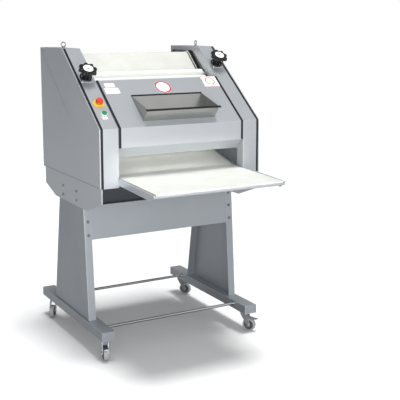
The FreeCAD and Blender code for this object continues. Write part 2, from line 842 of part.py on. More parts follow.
def stand_bolts():
    heads = []
    for side in (-1, 1):
        start = "base_outer" if side > 0 else "-base_outer - bolt_head"
        for back in ("0", "base_bolt_pitch"):
            for up in ("0", "base_bolt_rise"):
                heads.append(hexagon("bolt_radius", "bolt_head", start, f"base_bolt_front + {back}",
                                     f"base_bolt_low + {up}", "x"))
        for up in ("0", "beam_bolt_rise", "2 * beam_bolt_rise"):
            z = f"beam_bolt_low + {up}"
            face = f"leg_front_top - leg_lean * (leg_top - ({z}))"
            head = hexagon("bolt_radius", "bolt_head", "0", "0", "0")
            across = f"{side} * (leg_inner + beam_bolt_inset)"
            place(head, across, face, z, X_AXIS, "90 deg - atan(leg_lean)")
            heads.append(head)
    finish(group(heads), "stand_bolts")


# Casters
CASTERS = {
    "front_left": ("-caster_x", "caster_front", -15),
    "front_right": ("caster_x", "caster_front", 35),
    "rear_left": ("-caster_x", "caster_rear", -36),
    "rear_right": ("caster_x", "caster_rear", 36),
}
BRAKED = ("front_left", "front_right")


def caster_plates():
    plates = []
    for x, y, _ in CASTERS.values():
        plate = box(f"{x} - caster_plate_width / 2", f"{y} - caster_plate_length / 2", "caster_plate_under",
                    "caster_plate_width", "caster_plate_length", "caster_plate_wall")
        bore = cylinder("kingpin_radius + shaft_play", "caster_plate_wall", x, y, "caster_plate_under")
        plates.append(cut(plate, bore))
    finish(group(plates), "caster_plates")


def caster_turn(item, label, name):
    """Finish a piece of a caster, drawn about its swivel with the wheel trailing to -Y."""
    x, y, degrees = CASTERS[name]
    return finish(item, label, y, "0", x, Z_AXIS, f"{degrees}")


def fork_cheek(x):
    """One tapered cheek of the fork, from the crown down round the axle."""
    body = new_body("ForkCheek")
    top = "fork_top_width / 2"
    edge = [(f"-{top}", "fork_crown"), (f"{top}", "fork_crown"),
            ("fork_foot_radius - wheel_trail", "wheel_radius"),
            ("-fork_foot_radius - wheel_trail", "wheel_radius")]
    pad(body, "YZ_Plane", x, "fork_wall", [edge])
    foot = cylinder("fork_foot_radius", "fork_wall", x, "-wheel_trail", "wheel_radius", "x")
    return [body, foot]


def caster(name):
    crown_width = "2 * (fork_inner + fork_wall)"
    swivel = cylinder("swivel_radius", "swivel_height", "0", "0", "fork_crown")
    kingpin = cylinder("kingpin_radius", "foot_underside - swivel_play - fork_crown", "0", "0", "fork_crown")
    crown = box(f"-({crown_width}) / 2", "-fork_top_width / 2", "fork_crown",
                crown_width, "fork_top_width", "fork_wall")
    axle = cylinder("axle_radius", crown_width, f"-({crown_width}) / 2", "-wheel_trail", "wheel_radius", "x")
    nut_play = "fork_inner + fork_wall"
    nuts = [hexagon("axle_radius * 1.7", "fork_wall", x, "-wheel_trail", "wheel_radius", "x")
            for x in (nut_play, f"-({nut_play}) - fork_wall")]
    cheeks = fork_cheek("fork_inner") + fork_cheek("-fork_inner - fork_wall")
    fork = fuse([swivel, kingpin, crown, axle] + nuts + cheeks)
    if name in BRAKED:
        fork = cut(fork, pedal_pin("shaft_play"))
    caster_turn(fork, "fork_" + name, name)

    half = "wheel_width / 2"
    tread = tube("wheel_radius", "hub_radius", "wheel_width", f"-{half}", "-wheel_trail", "wheel_radius", "x")
    hub = tube("hub_radius", "axle_radius + shaft_play", "wheel_width", f"-{half}",
               "-wheel_trail", "wheel_radius", "x")
    caster_turn(group([tread, hub]), "wheel_" + name, name)


def brake_pedal(name):
    """A pressed lever over the wheel on a pin through the fork, clear of the tread until stepped on."""
    body = new_body("Pedal")
    low, high = "pedal_pin_z - pedal_wall / 2", "pedal_pin_z + pedal_wall / 2"
    heel = "pedal_wall - pedal_pin_y"
    toe = "-wheel_trail - pedal_reach"
    edge = [(heel, low), (heel, high), ("-wheel_trail", high), (toe, f"{high} - pedal_drop"),
            (toe, f"{low} - pedal_drop"), ("-wheel_trail", low)]
    half = "fork_inner - side_play"
    pad(body, "YZ_Plane", f"-({half})", f"2 * ({half})", [edge])
    caster_turn(fuse([body, pedal_pin("0")]), "brake_pedal_" + name, name)


def pedal_pin(play):
    """The pedal's hinge pin, or with some play the cutter for its holes in the fork."""
    half = "fork_inner + fork_wall"
    return cylinder(f"pedal_pin_radius + {play}", f"2 * ({half})", f"-({half})", "-pedal_pin_y",
                    "pedal_pin_z", "x")


def casters():
    caster_plates()
    for name in CASTERS:
        caster(name)
    for name in BRAKED:
        brake_pedal(name)


# Belts and rollers
def lower_wheels():
    """The lower belt's path: nose, return bar, drive roller, and the bend it is held down at."""
    nose = wheel("nose", "nose_radius")
    bend_y, bend_z = number("bend_y"), number("bend_z")
    front = atan2(bend_z - nose[1] - nose[2], bend_y - nose[0])
    drive = wheel("lower_drive", "lower_drive_radius")
    rear = atan2(drive[1] + drive[2] - bend_z, drive[0] - bend_y)
    mean = (front + rear) / 2
    radius = number("bend_radius")
    wall = number("belt_wall")
    bend = (bend_y - radius * sin(mean), bend_z + radius * cos(mean), -radius - wall - number("belt_play"))
    back = wheel("return", "return_radius")
    return [nose, back, drive, bend]


def upper_wheels():
    names = ("upper_nose", "upper_rear", "upper_drive", "upper_front")
    return [wheel(name, "upper_radius") for name in names]


def belts():
    wall, play = number("belt_wall"), number("belt_play")
    half = number("belt_half_width")
    solid_piece("lower_belt", band(lower_wheels(), play, wall, -half, 2 * half))
    half = number("upper_half_width")
    solid_piece("upper_belt", band(upper_wheels(), play, wall, -half, 2 * half))


def belt_cheeks():
    """White end plates that the upper belt runs between, round its two top rollers."""
    rim = number("belt_play") + number("belt_wall") + number("cheek_rim")
    ends = [wheel("upper_front", "upper_radius"), wheel("upper_drive", "upper_radius")]
    inner = number("frame_inner") - number("cheek_wall")
    plates = []
    for x in (inner, -inner - number("cheek_wall")):
        plate = Part.Face(round_path(ends, rim, x)).extrude(Vector(number("cheek_wall"), 0, 0))
        for y, z, _ in ends:
            hole = number("shaft_radius") + number("hole_play")
            plate = plate.cut(Part.makeCylinder(hole, number("cheek_wall"), Vector(x, y, z), X_AXIS))
        plates.append(plate)
    solid_piece("belt_cheeks", Part.makeCompound(plates))


def roller(label, y, z, radius, half, extra=()):
    """A roller with its shaft through both side frames into the bearings."""
    reach = "bearing_outer - side_play"
    barrel = cylinder(radius, f"2 * ({half})", f"-({half})", y, z, "x")
    shaft = cylinder("shaft_radius", f"2 * ({reach})", f"-({reach})", y, z, "x")
    return finish(fuse([barrel, shaft] + list(extra)), label)


def sprocket(y, z, step, radius="sprocket_radius", side=1):
    """A sprocket or gear on a shaft's end, in one of the planes outside the bearings."""
    face = f"sprocket_inner + {step} * sprocket_step"
    start = "bearing_outer - 2 * side_play"
    hub = f"{face} + sprocket_wall - ({start})"
    x_wheel = face if side > 0 else f"-({face}) - sprocket_wall"
    x_hub = start if side > 0 else f"-({start}) - ({hub})"
    return [cylinder(radius, "sprocket_wall", x_wheel, y, z, "x"),
            cylinder("shaft_radius", hub, x_hub, y, z, "x")]


def rollers():
    drive = sprocket("lower_drive_y", "lower_drive_z", 0) + sprocket("lower_drive_y", "lower_drive_z", 1)
    roller("lower_drive_roller", "lower_drive_y", "lower_drive_z", "lower_drive_radius",
           "belt_half_width", drive)
    top = sprocket("upper_drive_y", "upper_drive_z", 1)
    roller("upper_drive_roller", "upper_drive_y", "upper_drive_z", "upper_radius", "upper_half_width", top)
    for name in ("upper_front", "upper_nose", "upper_rear"):
        roller(name + "_roller", name + "_y", name + "_z", "upper_radius", "upper_half_width")
    for name in ("guide_upper", "guide_lower"):
        roller(name + "_roller", name + "_y", name + "_z", "guide_radius", "roller_half_width")
    for name, y in (("front", "sheeting_front_y"), ("rear", "sheeting_rear_y")):
        gear = sprocket(y, "sheeting_z", 0, "gear_radius", side=-1)
        roller(f"sheeting_roller_{name}", y, "sheeting_z", "sheeting_radius", "roller_half_width", gear)


def shaft_bearings():
    rings = []
    for y, z in bearing_points():
        for x in ("frame_outer", "-bearing_outer"):
            rings.append(tube("bearing_radius", "shaft_radius + shaft_play", "bearing_wall", x, y, z, "x"))
    finish(group(rings), "shaft_bearings")


def sheeting_carriage():
    """Bearing blocks of the rear sheeting roller, outside the frames, and their tie bar."""
    y, z, half = "sheeting_rear_y", "sheeting_z", "carriage_half"
    length = f"carriage_bar_shift + 2 * {half}"
    blocks = []
    for x in ("frame_outer + side_play", "-frame_outer - side_play - carriage_wall"):
        block = box(x, f"{y} - {half}", f"{z} - {half}", "carriage_wall", length, f"2 * {half}")
        bore = cylinder("shaft_radius + shaft_play", "carriage_wall", x, y, z, "x")
        blocks.append(cut(block, bore))
    reach = "frame_outer + side_play"
    bar = cylinder("carriage_bar_radius", f"2 * ({reach})", f"-({reach})",
                   f"{y} + carriage_bar_shift", z, "x")
    finish(group(blocks + [bar]), "sheeting_carriage")


def pressure_board():
    """A board inside the upper belt, above its lower run, with a lug through each frame."""
    body = new_body("PressureBoard")
    inset = "(board_inset + upper_radius)"
    low, high = "board_foot", "board_foot + board_wall"
    far = f"board_length - {inset}"
    edge = [(inset, low), (far, low), (far, high), (inset, high)]
    half = "upper_half_width"
    pad(body, "YZ_Plane", f"-{half}", f"2 * {half}", [edge])
    middle = "board_length / 2"
    lug_half = "lug_half - hole_play"
    lug = [(f"{middle} - ({lug_half})", low), (f"{middle} + {lug_half}", low),
           (f"{middle} + {lug_half}", high), (f"{middle} - ({lug_half})", high)]
    reach = "bearing_outer"
    pad(body, "YZ_Plane", f"-({reach})", f"2 * ({reach})", [lug])
    finish(body, "pressure_board", "upper_nose_y", "upper_nose_z", "0", X_AXIS, "board_slope")


def tray_frame():
    """The outfeed tray: a bed under the belt's top run, its side plates and the return bar."""
    body = new_body("TrayFrame")
    half = "tray_half_width"
    nose_top = "nose_height + nose_radius - bed_play"
    front = "nose_y"
    lift = "bend_z - bed_gap"
    bed_rise = "bend_z - nose_height - nose_radius - belt_wall"
    bed_end = f"{nose_top} + ({bed_rise}) * (tray_reach - side_play) / (tray_reach + bend_y)"
    bed_front = [(front, nose_top), ("-side_play", bed_end)]
    bed_front += [(y, f"{z} - bed_wall") for y, z in bed_front[::-1]]
    pad(body, "YZ_Plane", f"-{half}", f"2 * {half}", [bed_front])
    joint, level = bed_front[1]
    past = "flange_depth + side_play"
    bed_slope = "(bend_z - bed_gap - (" + level + f")) / (bend_y - ({joint}))"
    inner_y = f"{joint} - 1"
    inner_z = level
    past_z = f"({level}) + {bed_slope} * ({past} - ({joint}))"
    neck = [(inner_y, inner_z), (f"{past} + 1", past_z), (f"{past} + 1", f"{past_z} - bed_wall"),
            (inner_y, f"{inner_z} - bed_wall")]
    slim = "(opening_half - side_play)"
    pad(body, "YZ_Plane", f"-{slim}", f"2 * {slim}", [neck])
    broad = "frame_inner"
    bed_rear = [(past, past_z), ("bend_y", lift), ("bed_rear", "bed_rear_z"),
                ("bed_rear", "bed_rear_z - bed_wall"), ("bend_y", f"{lift} - bed_wall"),
                (past, f"{past_z} - bed_wall")]
    pad(body, "YZ_Plane", f"-{broad}", f"2 * {broad}", [bed_rear])
    top_front = "nose_height + nose_radius + belt_wall - tray_rim"
    top_rear = "bend_z - tray_rim"
    plate = [("2 - tray_reach", top_front), ("-side_play", top_rear),
             ("-side_play", f"{top_rear} - tray_side_rear"),
             ("tray_nose_cut - tray_reach", f"{top_front} - tray_side_front"),
             ("2 - tray_reach", f"{top_front} - tray_side_front / 3")]
    for side in (-1, 1):
        pad(body, "YZ_Plane", f"{side} * {half}", "tray_side_wall", [plate], back=side > 0)
    bar = cylinder("return_radius", f"2 * {broad}", f"-{broad}", "return_y", "return_z", "x")
    finish(group([body, bar]), "tray_frame")


# Drive
def gearmotor():
    end = "frame_inner - motor_bracket_wall"
    bracket = box(end, "motor_y - motor_radius", "cover_bottom", "motor_bracket_wall",
                  "2 * motor_radius", "motor_z + motor_radius - cover_bottom")
    case = cylinder("motor_radius", "motor_length", f"{end} - motor_length", "motor_y", "motor_z", "x")
    pad_height = "motor_z - cover_bottom"
    foot = box(f"{end} - motor_length", "motor_y - motor_radius / 2", "cover_bottom",
               "motor_length", "motor_radius", pad_height)
    finish(fuse([bracket, case, foot]), "gearmotor")


def motor_shaft():
    reach = "sprocket_inner + sprocket_wall"
    start = "frame_inner + side_play"
    shaft = cylinder("shaft_radius", f"{reach} - ({start})", start, "motor_y", "motor_z", "x")
    disc = cylinder("sprocket_radius", "sprocket_wall", "sprocket_inner", "motor_y", "motor_z", "x")
    finish(fuse([shaft, disc]), "motor_sprocket")


def drive_chains():
    """Two endless chains, drawn as plain bands round their sprockets."""
    play, wall = number("belt_play"), number("chain_wall")
    width, step = number("sprocket_wall"), number("sprocket_step")
    start = number("sprocket_inner")
    motor, lower, upper = [wheel(name, "sprocket_radius") for name in ("motor", "lower_drive", "upper_drive")]
    first = band([lower, motor], play, wall, start, width)
    second = band([lower, upper], play, wall, start + step, width)
    solid_piece("drive_chains", Part.makeCompound([first, second]))


# Front guard
def guard_profile(lift, fall):
    """The guard's bent sheet as a strip between two depths under its outer face."""
    def run(depth):
        fold = f"fold_height - ({depth}) * (1 - slope_sin) / slope_cos"
        lip = "guard_lip - " + f"({depth}) * return_miter"
        return [slope_point("guard_top", depth), (depth, fold), (depth, lip)]
    return run(lift) + run(fall)[::-1]


def front_guard():
    body = new_body("FrontGuard")
    half = "guard_half"
    strip = guard_profile("0", "sheet_wall")
    corner = strip[2], strip[3]
    end = ("guard_return_y", "guard_return_z")
    below = ("guard_return_y + sheet_wall * return_sin", "guard_return_z + sheet_wall * return_cos")
    strip = strip[:2] + [corner[0], end, below, corner[1]] + strip[4:]
    pad(body, "YZ_Plane", f"-{half}", f"2 * {half}", [strip])
    web = guard_profile("sheet_wall / 2", "guard_flange")
    pivot = ("hinge_y", "hinge_z", "hinge_radius + shaft_play")
    for side in (-1, 1):
        pad(body, "YZ_Plane", f"{side} * {half}", "sheet_wall", [web], [pivot], back=side > 0)
    low_y, high_y = slope_point("mouth_low")[0], slope_point("mouth_high")[0]
    wide = "mouth_half_width"
    mouth = [(f"-{wide}", low_y), (wide, low_y), (wide, high_y), (f"-{wide}", high_y)]
    pocket(body, "XY_Plane", "guard_lip + guard_flange", "slope_rise", [mouth], back=True)
    finish(body, "front_guard")


def guard_gaskets():
    strips = []
    for side in (-1, 1):
        run = guard_profile("-guard_seal_wall", "0")
        strips.append(side_plate("GuardGasket", side, "guard_half", "guard_seal_width", [run]))
    finish(group(strips), "guard_gaskets")


def hopper():
    """A folded hopper: a front wall square to the slope, side plates, and a chute to the rollers."""
    body = new_body("Hopper")
    half = "mouth_half_width - hopper_play"
    front_low = slope_point("mouth_low + hopper_play")
    front_high = slope_point("mouth_low + hopper_play", "-hopper_height")
    back_high = slope_point("mouth_high - hopper_play")
    side = [front_low, front_high, back_high, ("chute_back_y", "chute_z"), ("chute_front_y", "chute_z")]
    for turn_side in (-1, 1):
        pad(body, "YZ_Plane", f"{turn_side} * ({half})", "hopper_wall", [side], back=turn_side > 0)
    wall = "hopper_wall"
    front = [front_low, front_high, slope_point(f"mouth_low + hopper_play + {wall}", "-hopper_height"),
             slope_point(f"mouth_low + hopper_play + {wall}")]
    back = [back_high, ("chute_back_y", "chute_z"), (f"chute_back_y - {wall}", "chute_z"),
            slope_point(f"mouth_high - hopper_play - 1.6 * {wall}")]
    floor = [front_low, slope_point(f"mouth_low + hopper_play + 2 * {wall}"),
             (f"chute_front_y + {wall}", "chute_z"), ("chute_front_y", "chute_z")]
    rim = [slope_point("mouth_low + hopper_play - hopper_rim", f"{wall} - hopper_height"),
           slope_point("mouth_low + hopper_play - hopper_rim", "-hopper_height"),
           slope_point(f"mouth_low + hopper_play + {wall} / 2", "-hopper_height"),
           slope_point(f"mouth_low + hopper_play + {wall} / 2", f"{wall} - hopper_height")]
    for strip in (front, back, floor, rim):
        pad(body, "YZ_Plane", f"-({half})", f"2 * ({half})", [strip])
    finish(body, "hopper")


# Controls, each drawn about its own axis and stood on the slope
def adjusters():
    plates = []
    for side, name in ((-1, "left"), (1, "right")):
        distance = "adjuster_" + name
        half = "adjuster_plate / 2"
        plate = box(f"-{half}", f"-{half}", "0", "adjuster_plate", "adjuster_plate", "adjuster_plate_wall")
        plate = cut(plate, cylinder("spindle_radius + hole_play", "adjuster_plate_wall"))
        pieces = [plate]
        for across in (-1, 1):
            for up in (-1, 1):
                at = "adjuster_plate / 2 - adjuster_screw_inset"
                pieces.append(cylinder("adjuster_screw", "adjuster_screw_head", f"{across} * ({at})",
                                       f"{up} * ({at})", "adjuster_plate_wall"))
        pieces.append(tube("collar_radius", "collar_bore", "collar_height", "0", "0", "adjuster_plate_wall"))
        y, z = slope_point(distance)
        plates.append(place(group(pieces), f"{side} * adjuster_x", y, z, X_AXIS, "slope_angle"))
        handwheel("handwheel_" + name, f"{side} * adjuster_x", distance)
    finish(group(plates), "adjuster_flanges")


def handwheel(label, x, distance):
    """A lobed knob on a tapered neck, with its spindle and a dial disc let into its top."""
    base = "adjuster_plate_wall + side_play"
    top = f"{base} + neck_height"
    crown = f"{top} + knob_height"
    lobes = []
    for index in range(int(number("lobe_count"))):
        angle = f"{index} * 360 / lobe_count"
        lobes.append(cylinder("lobe_radius", "knob_height", f"knob_radius * cos({angle})",
                              f"knob_radius * sin({angle})", top))
    body = fuse([cone("neck_radius", "neck_top_radius", "neck_height", base),
                 cylinder("knob_radius", "knob_height", "0", "0", top)] + lobes)
    body = cut(body, cylinder("dial_radius", "dial_wall", "0", "0", f"{crown} - dial_wall"))
    dial = cylinder("dial_radius", "dial_wall", "0", "0", f"{crown} - dial_wall")
    spindle = cylinder("spindle_radius", f"spindle_length + {base}", "0", "0", "-spindle_length")
    on_slope(group([fuse([body, spindle]), dial]), label, x, distance)


def contact_block(radius, travel):
    """A switch block behind the sheet, hollow in front for the button's travel."""
    depth = f"5 * sheet_wall + {travel}"
    outer = cylinder(f"{radius} + block_wall", f"{depth} + block_depth", "0", "0",
                     f"-({depth}) - block_depth - sheet_wall")
    well = cylinder(f"{radius} + button_play", depth, "0", "0", f"-({depth}) - sheet_wall")
    return cut(outer, well)


def buttons():
    reach = "3 * sheet_wall"
    collar = tube("estop_plate", "estop_stem + button_play", "estop_plate_height")
    on_slope(group([collar, contact_block("estop_stem", "estop_travel")]),
             "estop_collar", "-button_x", "estop_slope")
    under = "estop_plate_height + estop_travel + side_play"
    head = cylinder("estop_head", "estop_head_height", "0", "0", under)
    shank = cylinder("estop_stem", f"{under} + {reach}", "0", "0", f"-{reach}")
    on_slope(fuse([head, shank]), "estop_button", "-button_x", "estop_slope")
    bezel = tube("start_plate", "start_head + button_play", "start_plate_height")
    on_slope(group([bezel, contact_block("start_head", "start_travel")]),
             "start_bezel", "-button_x", "start_slope")
    green = cylinder("start_head", f"start_head_height + {reach}", "0", "0", f"-{reach}")
    on_slope(green, "start_button", "-button_x", "start_slope")


def check_document():
    """Stop if any object failed or any sub-part has no sound shape."""
    for item in document.Objects:
        if "Invalid" in item.State or "Error" in item.State:
            raise RuntimeError(f"{item.Name} ({item.Label}): {item.State}")
    for item in finished:
        if item.Shape.isNull() or not item.Shape.isValid() or not item.Shape.Solids:
            raise RuntimeError(f"{item.Label}: no sound shape")


def main():
    for make in (side_covers, cover_gaskets, column_panels, side_frames, rear_panel, mains_gland, lifting_eyes,
                 base_sides, bottom_pan, feet, legs, crossbeam, tie_rods, stand_bolts, casters,
                 belts, belt_cheeks, rollers, shaft_bearings, sheeting_carriage, pressure_board, tray_frame,
                 gearmotor, motor_shaft, drive_chains, front_guard, guard_gaskets, hopper,
                 adjusters, buttons):
        make()
    document.recompute()
    check_document()
    os.makedirs("parts", exist_ok=True)
    for item in finished:
        item.Shape.exportStep(f"parts/{item.Label}.step")
    print(len(finished), "sub-parts written")


main()
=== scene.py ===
# %% [markdown]
# # A baguette moulder
# This lesson dresses a baguette moulder: a folded-sheet body on a castered stand, with a dough
# hopper, two belts and two dial handwheels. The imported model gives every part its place. Each cell
# below adds one piece or one finish over it. Sizes are in millimetres in the workshop's own
# drawing frame, where Y = 0 is the front face of the columns, and one helper turns them into the
# model's metres.

# %% Load the frame
import bpy
import bmesh
import json
import math
import numpy as np
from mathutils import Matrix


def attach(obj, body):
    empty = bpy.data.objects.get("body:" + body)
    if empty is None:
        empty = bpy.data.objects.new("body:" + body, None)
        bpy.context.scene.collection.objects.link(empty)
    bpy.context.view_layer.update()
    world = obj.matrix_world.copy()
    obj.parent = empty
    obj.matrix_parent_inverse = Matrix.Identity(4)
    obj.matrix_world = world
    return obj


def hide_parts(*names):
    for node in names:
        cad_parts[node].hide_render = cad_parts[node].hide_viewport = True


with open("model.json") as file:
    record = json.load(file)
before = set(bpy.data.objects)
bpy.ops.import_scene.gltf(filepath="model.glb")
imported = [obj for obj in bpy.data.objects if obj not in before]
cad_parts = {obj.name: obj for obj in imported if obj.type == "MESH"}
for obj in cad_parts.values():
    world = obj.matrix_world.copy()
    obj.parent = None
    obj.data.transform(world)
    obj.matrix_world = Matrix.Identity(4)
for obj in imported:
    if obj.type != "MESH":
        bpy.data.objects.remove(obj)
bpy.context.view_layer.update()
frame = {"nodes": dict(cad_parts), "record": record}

# %% [markdown]
# ## Surfaces from numpy
# A sheet-metal machine is made of folded sheets, turned parts and bent bars. All three are grids
# of points: a profile is worked out once and then carried along a path, or round an axis. Working
# on whole arrays keeps each shape to one formula, and the same few helpers serve every piece.

# %% Grid helpers
DRAWING_SHIFT = 265.0


def grid(points, round_rows=False, round_columns=False):
    """A rows x columns x 3 array as (vertices, faces): each face joins corner (i, j) to its
    neighbours (i, j+1), (i+1, j+1) and (i+1, j), with the last row or column joined to the
    first where that direction is round."""
    points = np.asarray(points, float)
    rows, columns = points.shape[:2]
    i, j = np.meshgrid(np.arange(rows - (not round_rows)), np.arange(columns - (not round_columns)),
                       indexing="ij")
    down, right = (i + 1) % rows, (j + 1) % columns
    quads = np.stack([i * columns + j, i * columns + right,
                      down * columns + right, down * columns + j], -1)
    return points.reshape(-1, 3), quads.reshape(-1, 4).tolist()


def capped(points):
    """The grid of a closed profile carried along rows, with its end rows filled by one face each."""
    vertices, faces = grid(points, round_columns=True)
    columns = np.asarray(points).shape[1]
    ends = [list(range(columns))[::-1], list(range(len(vertices) - columns, len(vertices)))]
    return vertices, faces + ends


def hoop(points):
    """The grid of a closed profile carried round a closed path."""
    return grid(points, round_rows=True, round_columns=True)


def joined(*shapes):
    """Several (vertices, faces) pairs as one: face numbers move on by the vertices before them."""
    starts = np.cumsum([0] + [len(vertices) for vertices, _ in shapes])
    faces = [[int(start) + corner for corner in face]
             for start, (_, own) in zip(starts, shapes) for face in own]
    return np.concatenate([vertices for vertices, _ in shapes]), faces


def rounded(corners, radius, steps=4, closed=True):
    """A polygon with eased corners: each corner P gives way to the curve
    (1-t)^2 A + 2t(1-t) P + t^2 B, where A and B lie up to `radius` from P along its two edges."""
    corners = np.asarray(corners, float)
    before, after = np.roll(corners, 1, 0) - corners, np.roll(corners, -1, 0) - corners
    long_before = np.linalg.norm(before, axis=1, keepdims=True)
    long_after = np.linalg.norm(after, axis=1, keepdims=True)
    reach = np.broadcast_to(np.asarray(radius, float).reshape(-1, 1), long_before.shape)
    reach = np.minimum(reach, 0.45 * np.minimum(long_before, long_after))
    a = (corners + before / long_before * reach)[:, None]
    b = (corners + after / long_after * reach)[:, None]
    t = np.linspace(0, 1, steps + 1)[None, :, None]
    curve = (1 - t) ** 2 * a + 2 * t * (1 - t) * corners[:, None] + t ** 2 * b
    if not closed:
        curve[0], curve[-1] = corners[0], corners[-1]
    return curve.reshape(-1, corners.shape[1])


def inwards(path, depths, closed=False):
    """A side-view path moved inwards. Each corner goes to the crossing of its two edges' moved
    lines: with unit normals n, m at depths d, e and c = n.m, it moves by
    n (d - c e)/(1 - c^2) + m (e - c d)/(1 - c^2), or by n d where the edges are in line."""
    path = np.asarray(path, float)
    edges = np.roll(path, -1, 0) - path
    if not closed:
        edges[-1] = edges[-2]
    normal = np.stack([-edges[:, 1], edges[:, 0]], -1)
    normal /= np.linalg.norm(normal, axis=1, keepdims=True)
    depths = np.broadcast_to(np.asarray(depths, float), len(path)).copy()
    other, depth_before = np.roll(normal, 1, 0), np.roll(depths, 1)
    if not closed:
        other[0], depth_before[0] = normal[0], depths[0]
        depths[-1] = depths[-2]
    c = np.sum(normal * other, 1)
    straight = c > 0.9999
    spread = np.where(straight, 1, 1 - c ** 2)
    own = np.where(straight, depths, (depths - c * depth_before) / spread)
    theirs = np.where(straight, 0, (depth_before - c * depths) / spread)
    return path + normal * own[:, None] + other * theirs[:, None]


def folded(path, profile, closed=False):
    """A sheet folded along a side-view path: point (i, j) is the path's corner i moved inwards by
    profile depth j, at profile place x j. A depth may be one number or one for each edge of the path."""
    rows = [np.insert(inwards(path, depth, closed), 0, x, axis=1) for x, depth in profile]
    return np.stack(rows, 1)


def turned(profile, steps=48, lobes=0, swell=0.0, ease=1.0, ring=False):
    """A profile of (radius, height) points turned about Z: point (j, i) is at angle u = i / steps of a
    turn and radius j times 1 + swell (j) cos(lobes u). `ease` squares the lobes up. The first and last
    rows are filled, or joined to each other where the profile is a ring's section."""
    profile = np.asarray(profile, float)
    u = np.linspace(0, 2 * np.pi, steps, endpoint=False)
    wave = np.cos(lobes * u)
    wave = np.sign(wave) * np.abs(wave) ** ease
    radius = profile[:, :1] * (1 + np.asarray(swell).reshape(-1, 1) * wave)
    height = np.broadcast_to(profile[:, 1:2], radius.shape)
    points = np.stack([radius * np.cos(u), radius * np.sin(u), height], -1)
    return hoop(points) if ring else capped(points)


def moved(shape, x=0.0, y=0.0, z=0.0):
    """A (vertices, faces) pair shifted by x, y, z."""
    return shape[0] + np.array([x, y, z]), shape[1]


def tipped(shape, axis, degrees):
    """A (vertices, faces) pair turned about the X, Y or Z axis (0, 1, 2) by the right-hand rule."""
    p, q = (axis + 1) % 3, (axis + 2) % 3
    c, s = math.cos(math.radians(degrees)), math.sin(math.radians(degrees))
    out = np.array(shape[0])
    out[:, p] = c * shape[0][:, p] - s * shape[0][:, q]
    out[:, q] = s * shape[0][:, p] + c * shape[0][:, q]
    return out, shape[1]


def mirrored(shape):
    """The same shape on the other side of X = 0, with each face's corners in reverse order."""
    return shape[0] * np.array([-1.0, 1.0, 1.0]), [face[::-1] for face in shape[1]]


def along_x(profile, steps=32, ring=False):
    """A profile of (radius, x) pairs turned about the X axis, closed at both ends or a ring."""
    return tipped(turned(profile, steps, ring=ring), 1, 90)


def rod(radius, low, high, ease=1.0):
    """A bar along X with eased ends."""
    return along_x([(radius - ease, low), (radius, low + ease),
                    (radius, high - ease), (radius - ease, high)])


def rows_at(lines, places, axis=0):
    """Flat lines stood at places along an axis: row i is line i with place i as its new coordinate."""
    return np.stack([np.insert(np.asarray(line, float), axis, place, axis=1)
                     for line, place in zip(lines, places)])


def prism(outline, low, high):
    """A closed side-view outline carried straight along X from low to high, with both ends filled."""
    return capped(rows_at([outline, outline], (low, high)))


def stacked(section, levels):
    """An (x, y) section laid at each height of `levels`, which holds (height, scale) pairs."""
    return capped(rows_at([np.asarray(section) * scale for _, scale in levels],
                          [height for height, _ in levels], 2))


def box_tube(width, height, ease):
    """An eased rectangle about the origin, as (x, z) pairs."""
    return rounded([(-width / 2, -height / 2), (width / 2, -height / 2), (width / 2, height / 2),
                    (-width / 2, height / 2)], ease, 4)


def screw(radius, height, washer=0.0):
    """A domed head over a washer: its radius falls as the square root of 1 - (0.55 v)^2 at share v
    of the dome's height, and then its profile goes down into the socket."""
    dome = [(radius * math.sqrt(1 - (0.55 * v) ** 2), height * (0.35 + 0.65 * v))
            for v in np.linspace(0, 1, 5)]
    foot_ring = [(washer, 0.0), (washer, 0.8), (radius, 0.9)] if washer else [(radius, 0.0)]
    socket = [(radius * 0.42, height), (radius * 0.40, height * 0.45), (radius * 0.05, height * 0.4)]
    return turned(foot_ring + dome + socket, 24)


print("drawing to model:", DRAWING_SHIFT, "mm forward, then metres")

# %% Turn a shape into a piece
triangles = {}


def piece(name, body, material, slot, *shapes, nodes=(), sheet=0.0, bevel=0.0, segments=2,
          smooth=35.0):
    """Builds the mesh from (vertices, faces) pairs, merges doubles, points faces outwards where the
    shell is closed, gives a sheet its thickness and eases its edges, and puts it on its body."""
    vertices, faces = joined(*shapes)
    vertices = (vertices - np.array([0, DRAWING_SHIFT, 0])) / 1000
    mesh = bpy.data.meshes.new(name)
    mesh.from_pydata(vertices.tolist(), [], faces)
    work = bmesh.new()
    work.from_mesh(mesh)
    bmesh.ops.remove_doubles(work, verts=work.verts, dist=2e-5)
    bmesh.ops.dissolve_degenerate(work, edges=work.edges, dist=1e-6)
    bmesh.ops.recalc_face_normals(work, faces=work.faces)
    work.to_mesh(mesh)
    work.free()
    item = bpy.data.objects.new(name, mesh)
    bpy.context.collection.objects.link(item)
    mesh.materials.append(material)
    corners = np.zeros(len(mesh.polygons), int)
    mesh.polygons.foreach_get("loop_total", corners)
    mesh.polygons.foreach_set("use_smooth", corners <= 4)
    if sheet:
        wall = item.modifiers.new("Wall", "SOLIDIFY")
        wall.thickness = sheet / 1000
        wall.offset = 0
        wall.use_even_offset = True
    if bevel:
        edge = item.modifiers.new("Eased edges", "BEVEL")
        edge.width = bevel / 1000
        edge.segments = segments
        edge.limit_method = "ANGLE"
        edge.angle_limit = math.radians(28)
        edge.use_clamp_overlap = True
    mesh.set_sharp_from_angle(angle=math.radians(smooth))
    even = item.modifiers.new("Even shading", "WEIGHTED_NORMAL")
    even.keep_sharp = not bevel
    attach(item, body)
    if nodes:
        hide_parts(*([nodes] if isinstance(nodes, str) else nodes))
    triangles[name] = sum(len(face) - 2 for face in faces)
    return item


print("pieces so far", len(triangles))

# %% [markdown]
# ## Colours and nodes
# Colours are written as a designer would pick them, in sRGB hex, and one function turns them to
# the linear values that shaders use. One more function adds any node with its settings and links.

